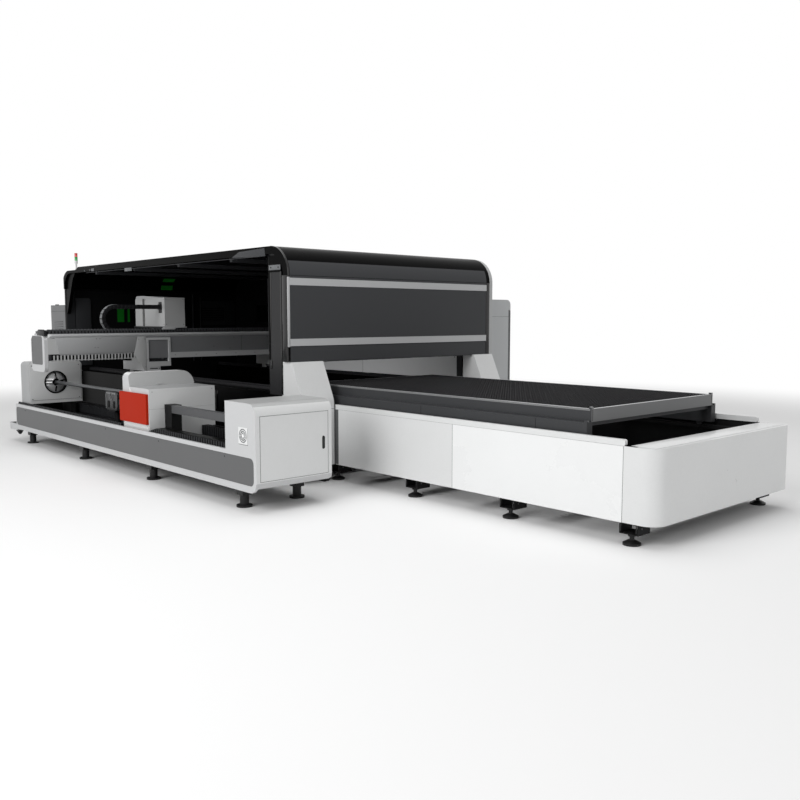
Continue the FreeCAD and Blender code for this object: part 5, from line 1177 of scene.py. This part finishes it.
@dataclass
class ExchangeTable(Assembly):
    """Details of the exchange table and its pallets."""

    near: float = -0.720
    far: float = 1.090
    top: float = 0.620
    low: float = 0.140
    tray_near: float = -0.615
    tray_far: float = 0.985
    slat_pitch: float = 0.05
    slats: int = 58
    teeth: int = 52
    upper_rim: float = 0.817
    lower_rim: float = 0.487

    def build(self) -> None:
        """Build the table's pieces."""
        self._pallet_details("upper", 0.680, 3.780, self.upper_rim)
        self._pallet_details("lower", -3.460, -0.360, self.lower_rim)
        self._panel_details()
        self._guide_rails()
        self._blades("upper", 0.752, self.upper_rim)
        self._blades("lower", -3.387, self.lower_rim)
        self._end_step()
        self._foot_brackets()

    @piece("{}_pallet_details", "{}_pallet", "pallet_grey", PALLET_GREY)
    def _pallet_details(self, shaper: Shaper, level: str, x0: float, x1: float, top: float) -> None:
        """Rims, seams, bolts and slat keepers of one pallet.

        Args:
            level: Name of the pallet, which the piece and its body take up.
            x0: Its rear end.
            x1: Its front end.
            top: Height of the tray's rim.
        """
        drop = top - self.upper_rim
        for side, edge in ((-1.0, self.tray_near), (1.0, self.tray_far)):
            # The lighter strip along the top of each side is painted highlight on the rim.
            shaper.plate(Y, edge, side * 0.003, (x0 + 0.01, x1 - 0.01), (0.8045 + drop, 0.8165 + drop),
                         FACE_GREY_AND_HIGHLIGHT)
            shaper.plate(Y, edge, side * 0.003, (x0 + 0.01, x1 - 0.01), (0.7315 + drop, 0.739 + drop))
            chassis = edge + side * 0.050
            for x in paces(x0 + 0.42, x1 - 0.42, 1.10):
                shaper.plate(Y, chassis, side * 0.0006, around(x, 0.0015), (0.612 + drop, 0.726 + drop),
                             CELL_BLACK)
                shaper.screws(Y, [(x - 0.12, 0.640 + drop)], chassis, side, 0.006, CELL_BLACK)
            keeper_near, keeper_far = sorted((edge - side * 0.0245, edge - side * 0.034))
            for x in paces(x0 + 0.0975, x1 - 0.0975, self.slat_pitch):
                shaper.block((x - 0.014, keeper_near, top - 0.050), (x - 0.006, keeper_far, top - 0.012))
        for y in (self.tray_near + 0.012, self.tray_far - 0.012):
            shaper.plate(X, x1, 0.0008, around(y, 0.0015), (0.736 + drop, 0.812 + drop), CELL_BLACK)

    @piece("{}_pallet_blades", "{}_pallet", "slat_steel", SLAT_STEEL)
    def _blades(self, shaper: Shaper, level: str, first: float, top: float) -> None:
        """Toothed blades halfway between the pallet's slats.

        Args:
            level: Name of the pallet, which the piece and its body take up.
            first: Where its first slat is.
            top: Height of the teeth.
        """
        near, far = self.tray_near + 0.030, self.tray_far - 0.030
        places = steps(far, near, self.teeth + 1)
        outline = [(near, top - 0.060), (far, top - 0.060)]
        outline += [(y, top if i % 2 else top - 0.014) for i, y in enumerate(places)]
        for i in range(self.slats):
            shaper.prism(X, outline, *around(first + 0.0265 + self.slat_pitch * i, 0.0012))

    @piece("table_panel_details", "machine", "table_grey", CELL_GREY)
    def _panel_details(self, shaper: Shaper) -> None:
        """Seams, lips and screws of the table's side panels and end cover, and a strip of painted shade at
        the near panel's end.
        """
        for y, side in ((self.near, -1.0), (self.far, 1.0)):
            for x in (2.6255, 4.0915):
                ys = sorted((y - side * 0.003, y + side * 0.0002))
                shaper.block((x - 0.0012, ys[0], self.low + 0.002), (x + 0.0012, ys[1], self.top - 0.002))
        for x0, x1 in ((1.223, 2.6235), (2.6275, 4.0895)):
            shaper.plate(Z, self.low, -0.0015, (x0, x1), (self.near + 0.0002, self.near + 0.014), TABLE_COAT)
        shaper.block((1.225, self.near - 0.0006, 0.6185), (4.088, self.near + 0.001, 0.6205), TRAY_GREY)
        # Dark strip at the near panel's end beside the cowl: painted shade.
        shaper.block((1.2215, self.near - 0.0008, 0.143), (1.262, self.near + 0.001, 0.618), PANEL_GREY)
        shaper.block((1.2184, -0.7302, 0.143), (1.2230, self.near + 0.001, 0.655), PANEL_GREY)
        shaper.screws(Y, product((1.30, 2.55, 2.70, 4.02), (0.175, 0.585)), self.far, 1.0, 0.006, SCREW_STEEL)

    @piece("table_guide_parts", "machine", "frame_paint", CELL_GREY)
    def _guide_rails(self, shaper: Shaper) -> None:
        """Wheel rails inside the table, and the stops and cross bar at its end."""
        for y0, y1 in ((-0.690, -0.672), (1.042, 1.060)):
            shaper.block((1.30, y0, 0.560), (4.05, y1, 0.566), edge=0.001)
        for y in (-0.45, 0.82):
            shaper.block((4.068, y - 0.03, 0.56), (4.120, y + 0.03, 0.60), CHAIN_NYLON, 0.004)
        shaper.block((4.060, -0.30, 0.571), (4.119, 0.67, 0.577), edge=0.001)

    @piece("table_end_step", "machine", "table_grey", TABLE_COAT)
    def _end_step(self, shaper: Shaper) -> None:
        """Low light edge round the end cover's top and its shut line."""
        shaper.block((4.128, -0.690, 0.6203), (4.300, 1.062, 0.6225), edge=0.0008)
        shaper.block((4.1265, -0.690, 0.6195), (4.1280, 1.062, 0.6210), CELL_GREY)

    @piece("table_foot_boxes", "machine", "black_paint", GLOSS_BLACK)
    def _foot_brackets(self, shaper: Shaper) -> None:
        """Black ribs and screws on the brackets of the table's levelling feet."""
        for x in steps(1.200, 4.140, 4):
            for y, side in ((-0.675, -1.0), (1.045, 1.0)):
                ys = sorted((y + side * 0.0415, y + side * 0.0445))
                shaper.block((x - 0.060, ys[0], 0.085), (x - 0.052, ys[1], 0.139))
                shaper.block((x + 0.052, ys[0], 0.085), (x + 0.060, ys[1], 0.139))
                shaper.screws(X, [(y, 0.112)], x + 0.0676, 1.0, 0.007, SCREW_STEEL)


@dataclass
class RoofEdge(Assembly):
    """Raised seam and clips along the near edge of the roof, and the ceiling's ribs."""

    face: float = -1.084
    lift: float = 0.0022

    @piece("roof_edge_seam_and_highlight", "machine", "dark_paint", HOOD_GREY)
    def _raised_seam(self, shaper: Shaper) -> None:
        """Raised segment at the front of the roof's edge and a strip along it, in lighter grey as painted
        highlight on the roof deck's side.
        """
        outline = [(0.178, 1.948), (0.215, 1.962), (0.300, 1.994), (0.712, 2.006), (0.724, 1.936),
                   (0.60, 1.936)]
        shaper.prism(Y, outline, self.face - self.lift, self.face + 0.001, edge=0.0008)
        shaper.block((-3.10, self.face - 0.0012, 1.9360), (0.60, self.face + 0.001, 1.9400))

    @piece("roof_edge_clips", "machine", "dark_paint", CHAIN_BAND)
    def _clips(self, shaper: Shaper) -> None:
        """Light clips that hold the roof's edge at the rear."""
        for x, z, wide, tall in ((-2.905, 1.966, 0.070, 0.032), (-3.141, 1.966, 0.018, 0.020),
                                 (-2.979, 1.966, 0.018, 0.020), (-1.960, 1.932, 0.170, 0.036)):
            shaper.block((x - wide / 2, self.face - 0.004, z - tall / 2),
                         (x + wide / 2, self.face + 0.001, z + tall / 2), edge=0.001)
            shaper.screws(Y, [(x, z)], self.face - 0.004, -1.0, 0.005, SCREW_STEEL)

    @piece("ceiling_ribs", "machine", "black_paint", CELL_GREY)
    def _ceiling_ribs(self, shaper: Shaper) -> None:
        """Folded stiffeners across the underside of the roof."""
        for x in (-2.90, -1.90, -0.90, 0.10):
            outline = [(x - 0.030, 1.9515), (x - 0.018, 1.915), (x + 0.018, 1.915), (x + 0.030, 1.9515)]
            shaper.prism(Y, outline, -1.045, 1.388, edge=0.002)


@dataclass
class CellInside(Assembly):
    """Linings, vents and small windows on the inner walls of the cell."""

    far_face: float = 1.390
    rear_face: float = -3.807
    frame: float = 0.024

    @piece("far_wall_lining", "machine", "black_paint", LINER_GREY)
    def _far_lining(self, shaper: Shaper) -> None:
        """Light lining sheets low on the far wall and the dark post beside them."""
        shaper.plate(Y, self.far_face, -0.003, (-1.750, 0.665), (0.617, 1.008))
        shaper.plate(Y, self.far_face, -0.0036, (-0.923, -0.920), (0.618, 1.007), CELL_GREY)
        shaper.plate(Y, self.far_face, -0.0042, (-0.150, -0.090), (0.955, 1.008))
        shaper.plate(Y, self.far_face, -0.020, (0.666, 0.742), (0.410, 1.620), CELL_GREY)
        shaper.plate(Y, self.far_face, -0.004, (0.748, 0.86), (0.410, 1.620), CELL_BLACK)
        shaper.screws(Y, product(paces(-1.70, 0.62, 0.42), (0.64, 0.985)), self.far_face - 0.003, -1.0, 0.006,
                      SCREW_STEEL)

    @piece("far_wall_vents", "machine", "black_paint", CELL_GREY)
    def _far_vents(self, shaper: Shaper) -> None:
        """Perforated sheets and window frames on the far wall."""
        for x0 in (-3.254, -1.594):
            left, right, bottom, top = x0 - 0.030, x0 + 0.590, 1.320, 1.610
            for xs, zs in (((left, left + self.frame), (bottom, top)),
                           ((right - self.frame, right), (bottom, top)),
                           ((left, right), (bottom, 1.345)), ((left, right), (1.585, top))):
                shaper.plate(Y, self.far_face, -0.006, xs, zs, CELL_BLACK)
        shaper.plate(Y, self.far_face, -0.002, (-2.45, -1.75), (1.303, 1.548))
        for x in paces(-2.42, -1.78, 0.032):
            for z in paces(1.32, 1.53, 0.030):
                shaper.plate(Y, self.far_face, -0.0026, around(x, 0.008), around(z, 0.008), CELL_BLACK)

    @piece("rear_wall_panels", "machine", "black_paint", CELL_GREY)
    def _rear_panels(self, shaper: Shaper) -> None:
        """Service panels, vent and folded edges on the rear wall."""
        panel = [(-0.946, 0.80), (-0.946, 1.655)] + arc((-0.785, 1.622), 0.033, 90, 0, 6) + [(-0.752, 0.80)]
        shaper.prism(X, panel, self.rear_face - 0.0005, self.rear_face + 0.016, edge=0.002)
        shaper.plate(X, self.rear_face, 0.003, (-0.742, -0.670), (1.376, 1.530), CELL_BLACK)
        shaper.plate(X, self.rear_face, 0.006, (-1.055, -0.955), (0.80, 1.74))
        shaper.plate(X, self.rear_face, 0.012, (0.700, 0.712), (0.80, 1.74))
        shaper.plate(X, self.rear_face, 0.010, (0.820, 0.826), (0.80, 1.70))
        shaper.plate(X, self.rear_face, 0.002, (0.838, 1.203), (1.358, 1.555), CELL_BLACK)
        shaper.plate(X, self.rear_face, 0.001, (0.830, 1.385), (1.300, 1.640), FRAME_GREY)
        for z in paces(1.372, 1.545, 0.024):
            shaper.plate(X, self.rear_face, 0.006, (0.850, 1.190), around(z, 0.003))
        for y in paces(1.225, 1.375, 0.026):
            for z in paces(1.315, 1.625, 0.026):
                shaper.plate(X, self.rear_face, 0.0018, around(y, 0.006), around(z, 0.006), CELL_BLACK)

    @piece("rear_wall_windows", "machine", "pane", GREEN_PANE_PAINTED_GLOW)
    def _green_windows(self, shaper: Shaper) -> None:
        """Small green panes in the rear wall's arc, and two in dark frames under them; the panes glow with
        painted light.
        """
        centre, radius = (self.rear_face + 0.212, 1.763), 0.189
        for low, high in ((175, 156), (138, 118)):
            curved = arc(centre, radius - 0.0005, low, high, 8) + arc(centre, radius - 0.005, high, low, 8)
            shaper.prism(Y, curved, 0.222, 0.388)
        for y0, y1, z0, z1 in ((-0.396, -0.305, 1.349, 1.519), (-0.255, -0.225, 1.349, 1.519)):
            shaper.plate(X, self.rear_face, 0.003, (y0 - 0.012, y1 + 0.012), (z0 - 0.012, z1 + 0.012),
                         CELL_BLACK)
            shaper.plate(X, self.rear_face, 0.005, (y0, y1), (z0, z1))


TUBE_AXIS: Place = (-1.633, 0.682)


@dataclass
class TubeBed(Assembly):
    """Details of the tube cutter's bed: panel screws, bellows, guard ribs and bar end."""

    panel: float = -1.967
    guard_top: float = 0.420
    bellows_near: float = -1.9455
    bellows_far: float = -1.4275
    bellows_start: float = 0.178
    top: float = 0.476
    bellows_end: float = 1.486
    pleat: float = 0.038

    @piece("bed_panel_screws", "machine", "grey_paint", CELL_GREY)
    def _panel_screws(self, shaper: Shaper) -> None:
        """Dark screws along the grey panel and the light band under it."""
        places = steps(-2.758, 1.470, 5)
        shaper.screws(Y, product(places, (0.378,)), self.panel, -0.5)
        shaper.screws(Y, [(x + 0.024, 0.153) for x in places], -1.9695, -0.2, 0.005)

    @piece("bed_bellows", "machine", "foot_black", ROOF_BLACK)
    def _bellows(self, shaper: Shaper) -> None:
        """Pleated black bellows over both guides at the front end of the bed."""
        x0, x1 = self.bellows_start, self.bellows_end
        skirt = [(x0, self.guard_top + 0.0003), (x1, self.guard_top + 0.0003), (x1, self.top),
                 (x0 + 0.16, self.top), (x0 + 0.02, self.top - 0.035)]
        shaper.prism(Y, skirt, self.bellows_near, -1.852, edge=0.002)
        shaper.block((x0, self.bellows_far, 0.3285), (x1, -1.3585, 0.446), edge=0.002)
        for x in paces(x0 + 0.015, x1 - 0.015, self.pleat):
            near_top = min(self.top, self.top - 0.035 + (x - x0 - 0.02) * 0.25) - 0.002
            for y, z0, z1 in ((self.bellows_near, self.guard_top + 0.001, near_top),
                              (self.bellows_far, 0.331, 0.4485)):
                shaper.block((x - 0.008, y - 0.002, z0), (x + 0.008, y + 0.004, z1), CELL_GREY, 0.001)
            shaper.block((x - 0.006, self.bellows_far + 0.004, 0.445), (x + 0.006, -1.362, 0.4475))

    @piece("rack_guard_ribs", "machine", "foot_black", ROOF_BLACK)
    def _guard_ribs(self, shaper: Shaper) -> None:
        """Ribs along the rack guards behind the front chuck."""
        shaper.block((-3.030, -1.9455, self.guard_top + 0.0001), (-0.345, -1.9320, 0.4520))
        for x in paces(-3.015, -0.36, self.pleat):
            shaper.block((x - 0.009, -1.9475, self.guard_top + 0.0002), (x + 0.009, -1.9310, 0.4580),
                         CELL_GREY, 0.001)
            shaper.block((x - 0.010, -1.3605, 0.3290), (x + 0.010, -1.3578, 0.4180), CELL_GREY)

    @piece("bar_end_block", "machine", "frame_paint", BED_BLACK)
    def _bar_end(self, shaper: Shaper) -> None:
        """Black end block of the unloading bar, on its post."""
        shaper.block((0.1725, -1.7815, 0.5865), (0.2960, -1.7802, 0.6560))
        shaper.block((0.1725, -1.7810, 0.6552), (0.2960, -1.6840, 0.6562))
        shaper.screws(Z, product((0.195, 0.272), (-1.732,)), 0.6562, 1.0, 0.006, SCREW_STEEL)


@dataclass
class RearChuck(Assembly):
    """Rims, seams, polished disc and spokes of the rear chuck."""

    face: float = -2.720
    rotor_face: float = -2.745
    rotor_radius: float = 0.117
    disc_radius: float = 0.111
    hub_radius: float = 0.042
    dish: float = 0.042

    @piece("rear_chuck_face", "rear_carriage", "white_paint", SCREW_STEEL)
    def _housing_face(self, shaper: Shaper) -> None:
        """Black rims round the rotor, and the screws and seams of the housing's face."""
        radius = self.rotor_radius
        shaper.ring(X, TUBE_AXIS, radius + 0.011, radius + 0.0005, self.face - 0.0005, self.face + 0.004,
                    GLOSS_BLACK, 56)
        shaper.ring(X, TUBE_AXIS, radius - 0.0002, radius - 0.0025, self.rotor_face + 0.0006,
                    self.face + 0.0030, GLOSS_BLACK, 56)
        shaper.screws(X, ((-1.893, 0.500), (-1.893, 0.872), (-1.369, 0.500), (-1.369, 0.872)), self.face, 1.0)
        shaper.plate(X, self.face, 0.0015, (-1.345, -1.3420), (0.470, 0.880))
        shaper.plate(X, self.face, 0.0015, (-1.905, -1.345), (0.4845, 0.4875))

    @piece("rear_chuck_disc", "rear_rotor", "bright_steel", CHUCK_FACE)
    def _disc(self, shaper: Shaper) -> None:
        """Polished disc with four black spokes round the tube."""
        y, z = TUBE_AXIS
        x0, x1 = self.rotor_face + 0.0003, self.rotor_face + self.dish
        outer, hub = self.disc_radius, self.hub_radius
        cone = [(outer, x0), (outer, x0 + 0.004), (hub + 0.004, x1), (hub, x1), (hub, x0)]
        shaper.lathe(X, TUBE_AXIS, cone + cone[:1], sides=64)
        end = outer - 0.004
        for side in (-1.0, 1.0):
            rib = [(side * end, x0), (side * end, x0 + 0.007), (side * hub, x1 + 0.003), (side * hub, x0)]
            shaper.prism(Y, [(x, z + r) for r, x in rib], y - 0.009, y + 0.009, GLOSS_BLACK)
            for a, b in ((-0.024, -0.008), (0.008, 0.024)):
                shaper.prism(Z, [(x, y + r) for r, x in rib], z + a, z + b, GLOSS_BLACK)


@dataclass
class FrontChuck(Assembly):
    """Seams, bar and rotor face of the front chuck."""

    box_face: float = 0.172

    @piece("front_chuck_parts", "machine", "white_paint", GLOSS_BLACK)
    def _box_parts(self, shaper: Shaper) -> None:
        """Black bar on the far edge, the lid's seam and two screws."""
        shaper.block((0.140, -1.2845, 0.582), (0.186, -1.2600, 0.753), edge=0.003)
        shaper.block((0.150, -1.2845, 0.600), (0.170, -1.2700, 0.735))
        shaper.plate(X, self.box_face, 0.0006, (-1.923, -1.30), (0.6195, 0.6210), TRAY_GREY)
        shaper.screws(X, product((-1.895, -1.315), (0.770,)), self.box_face, 1.0, 0.0045, TRAY_GREY)

    @piece("front_chuck_disc", "front_rotor", "bright_steel", CHROME)
    def _rotor_face(self, shaper: Shaper) -> None:
        """Polished ring with spokes on the front chuck's rotor."""
        x1 = -0.3373
        shaper.ring(X, TUBE_AXIS, 0.111, 0.094, x1 - 0.004, x1, sides=56)
        for centre in arc(TUBE_AXIS, 0.102, 45.0, 315.0, 4):
            shaper.rod(X, centre, 0.007, x1 - 0.010, x1 - 0.004, GLOSS_BLACK, 0.001, 12)


@dataclass
class SupportRoller(Assembly):
    """Bearing caps, slots and bolts on the tube support."""

    @piece("support_parts", "tube_support", "bright_steel", FACE_GREY_AND_HIGHLIGHT)
    def _bearings(self, shaper: Shaper) -> None:
        """Bearing caps, slots and bolts on both faces of the support, with painted highlight along the
        plate's top and left edges.
        """
        low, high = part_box("tube_support")
        x, z = (low[0] + high[0]) / 2, high[2] - 0.048
        for y, side in ((low[1], -1.0), (high[1], 1.0)):
            ends = sorted((y, y + side * 0.004))
            shaper.ring(Y, (x, z), 0.036, 0.030, *ends, sides=36)
            shaper.rod(Y, (x, z), 0.010, *ends, SCREW_STEEL, 0.001, 24)
            # The lighter strips along the plate's top and left edges are painted highlight.
            for x0, x1, z0, z1, radius, finish in (
                (-0.110, 0.110, 0.028, 0.040, 0.006, FACE_GREY_AND_HIGHLIGHT),
                (-0.118, -0.108, -0.120, 0.030, 0.005, FACE_GREY_AND_HIGHLIGHT),
                (-0.080, -0.040, -0.110, -0.040, 0.018, CELL_BLACK),
                (0.040, 0.080, -0.110, -0.040, 0.018, CELL_BLACK),
            ):
                shaper.prism(Y, eased(x + x0, x + x1, z + z0, z + z1, radius), *ends, finish)
        ys = around((low[1] + high[1]) / 2, 0.033)
        shaper.screws(X, product(ys, (low[2] + 0.235,)), x + 0.0775, 1.0, finish=SCREW_STEEL)


@dataclass
class EndBox(Assembly):
    """Door seam, pull, fan guard and cowl joints at the front of the tube cutter."""

    face: float = 1.900
    near: float = -1.970

    @piece("end_box_seam", "machine", "white_paint", PANEL_GREY)
    def _door_seam(self, shaper: Shaper) -> None:
        """Thin dark joint round the door."""
        x0, x1 = self.face - 0.001, self.face + 0.0004
        for y0, y1, z0, z1 in ((-1.9345, -1.9317, 0.2325, 0.7095), (-1.3257, -1.3225, 0.2325, 0.7095),
                               (-1.9345, -1.3225, 0.7065, 0.7095), (-1.9345, -1.3225, 0.2325, 0.2355)):
            shaper.block((x0, y0, z0), (x1, y1, z1))

    @piece("end_box_pull", "end_box_door", "black_paint", GLOSS_BLACK)
    def _pull(self, shaper: Shaper) -> None:
        """Black pull of the door."""
        shaper.prism(X, eased(-1.380, -1.354, 0.421, 0.519, 0.012), self.face - 0.003, self.face + 0.0012)

    @piece("fan_guard", "machine", "white_paint", BRIGHT_COAT)
    def _fan_guard(self, shaper: Shaper) -> None:
        """Rings, hub and spokes of the fan's grille, and a painted shadow along the right and bottom edges of
        its plate.
        """
        x, z = 1.734, 0.558
        y0, y1 = self.near - 0.0002, self.near + 0.002
        for radius in (0.0475, 0.0325, 0.0175):
            shaper.ring(Y, (x, z), radius + 0.0035, radius - 0.0015, y0, y1, CHUCK_GREY, 40)
        shaper.rod(Y, (x, z), 0.011, y0, y1)
        for angle in (0.6, 0.6 + math.pi / 2):
            turn = Matrix.Translation((x, (y0 + y1) / 2, z)) @ Matrix.Rotation(angle, 4, "Y")
            shaper.block((-0.0496, -0.0010, -0.0025), (0.0496, 0.0010, 0.0025), turn=turn)
        # Dark strips along the plate's right and bottom edges: painted shadow of the raised plate.
        shaper.block((x + 0.0615, y0, z - 0.066), (x + 0.0650, y1, z + 0.058), PANEL_GREY)
        shaper.block((x - 0.058, y0, z - 0.066), (x + 0.0650, y1, z - 0.0625), PANEL_GREY)

    @piece("cowl_joints", "machine", "white_paint", CELL_GREY)
    def _cowl_joint(self, shaper: Shaper) -> None:
        """Dark joints across both cowls."""
        for y0, y1 in ((-1.056, -0.7305), (1.2005, 1.476)):
            shaper.block((1.2165, y0, 0.6255), (1.2184, y1, 0.6280))
        shaper.block((1.10, -0.7300, 0.6255), (1.2165, -0.7294, 0.6280))


@dataclass
class Cabinets(Assembly):
    """Seams, louvres, vents and pulls of the electrical cabinet and the laser cabinet."""

    @piece("electrical_front_parts", "machine", "white_paint", CELL_GREY)
    def _electrical_front(self, shaper: Shaper) -> None:
        """Seam, vent and a darker corner strip of painted shade on the electrical cabinet's front side."""
        face = 0.900
        shaper.plate(X, face, 0.0008, (1.512, 1.938), (1.4175, 1.4195))
        # Darker strip on the cabinet's far corner: painted shade where the corner turns away from the light.
        strip = [(1.9385, 0.06), (1.9695, 0.06)] + arc((1.9495, 1.470), 0.020, 0, 90, 6) + [(1.9385, 1.490)]
        shaper.prism(X, strip, face - 0.0005, face + 0.0015, PANEL_GREY)
        shaper.plate(X, face, 0.0008, (1.512, 1.938), (0.058, 0.060))
        for z in paces(1.455, 1.53, 0.018):
            shaper.block((-0.0008, 1.60, z), (0.0005, 1.86, z + 0.006))
        for z in paces(0.20, 0.46, 0.024):
            shaper.block((-0.0040, 1.60, z), (0.0005, 1.86, z + 0.010), PANEL_GREY, 0.002)

    @piece("electrical_door_parts", "electrical_cabinet_door", "white_paint", CELL_GREY)
    def _electrical_door(self, shaper: Shaper) -> None:
        """Louvres and pull of the electrical cabinet's door."""
        y = 1.970
        for z0 in (0.20, 1.10):
            for z in paces(z0, z0 + 0.18, 0.026):
                shaper.block((0.25, y - 0.002, z), (0.65, y - 0.0002, z + 0.003))
        shaper.prism(Y, eased(0.060, 0.088, 0.68, 0.80, 0.012), y - 0.004, y - 0.0002, GLOSS_BLACK)

    @piece("laser_cabinet_parts", "machine", "white_paint", CELL_GREY)
    def _laser_cabinet(self, shaper: Shaper) -> None:
        """Seams, louvres, pulls and lifting rings of the laser cabinet."""
        near, far, back, front, top = -1.060, -0.160, -4.330, -3.850, 1.566
        for z in (0.080, 1.486):
            shaper.plate(Y, near, -0.0012, (back + 0.004, front - 0.004), (z, z + 0.003))
        for z in paces(0.95, 1.35, 0.030):
            shaper.plate(Y, near, -0.006, (-4.24, -3.94), (z, z + 0.012), PANEL_GREY, 0.003)
        shaper.block((back + 0.0002, -0.6115, 0.085), (back + 0.0012, -0.6085, 1.482))
        for y0, y1 in ((-1.00, -0.68), (-0.54, -0.22)):
            for z in paces(0.22, 0.52, 0.030):
                shaper.block((back + 0.0001, y0, z), (back + 0.0015, y1, z + 0.010), PANEL_GREY)
        for y in (-0.655, -0.565):
            shaper.prism(X, eased(y - 0.013, y + 0.013, 0.74, 0.88, 0.012), back + 0.0001, back + 0.002,
                         GLOSS_BLACK)
        for x in (back + 0.06, front - 0.06):
            for y in (near + 0.06, far - 0.06):
                shaper.ring(Z, (x, y), 0.024, 0.012, top + 0.0002, top + 0.012, GLOSS_BLACK, 24)


@dataclass
class SignalTower(Assembly):
    """Light stem with its collar, and the lamp's two lenses with their rings."""

    @piece("signal_stem_parts", "machine", "white_paint", WHITE_COAT, "signal_stem")
    def _stem(self, shaper: Shaper) -> None:
        """Light stem on its flange, with the collar under the lamp."""
        low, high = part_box("signal_stem")
        centre = ((low[0] + high[0]) / 2, (low[1] + high[1]) / 2)
        flange = (high[0] - low[0]) / 2
        collar = flange * 0.92
        shaper.lathe(Z, centre, [
            (0.0, low[2]), (flange, low[2]), (flange, low[2] + 0.008), (0.011, low[2] + 0.012),
            (0.0095, high[2] - 0.050), (collar, high[2] - 0.026), (collar, high[2] - 0.0005),
            (0.0, high[2] - 0.0005),
        ], sides=28)

    @piece("signal_lamp_parts", "machine", "lens", GREEN_LENS, "signal_lenses")
    def _lamp(self, shaper: Shaper) -> None:
        """Green lens under a red one, each with a ring at both ends."""
        low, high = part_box("signal_stem")
        centre = ((low[0] + high[0]) / 2, (low[1] + high[1]) / 2)
        low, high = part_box("signal_lenses")
        radius, middle = (high[0] - low[0]) / 2, (low[2] + high[2]) / 2
        waist = radius * 0.94
        for start, end, finish in ((low[2], middle, GREEN_LENS), (middle, high[2], RED_LENS)):
            shaper.lathe(Z, centre, [
                (0.0, start), (radius, start), (radius, start + 0.003), (waist, start + 0.006),
                (waist, end - 0.006), (radius, end - 0.003), (radius, end), (0.0, end),
            ], finish, 28)


ASSEMBLIES: tuple[type[Assembly], ...] = (
    CellFront, RoofEdge, CellInside, Gantry, Head, ExchangeTable, TubeBed, RearChuck, FrontChuck,
    SupportRoller, EndBox, Cabinets, SignalTower,
)


def main() -> None:
    """Build the studio, dress the machine and add its details."""
    logging.basicConfig(level=logging.INFO, format="%(name)s: %(message)s")
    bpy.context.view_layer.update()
    effects = Effects()
    Studio().build()
    PackedNodes(effects).dress()
    for assembly in ASSEMBLIES:
        assembly(effects).build()


if __name__ == "__main__":
    main()
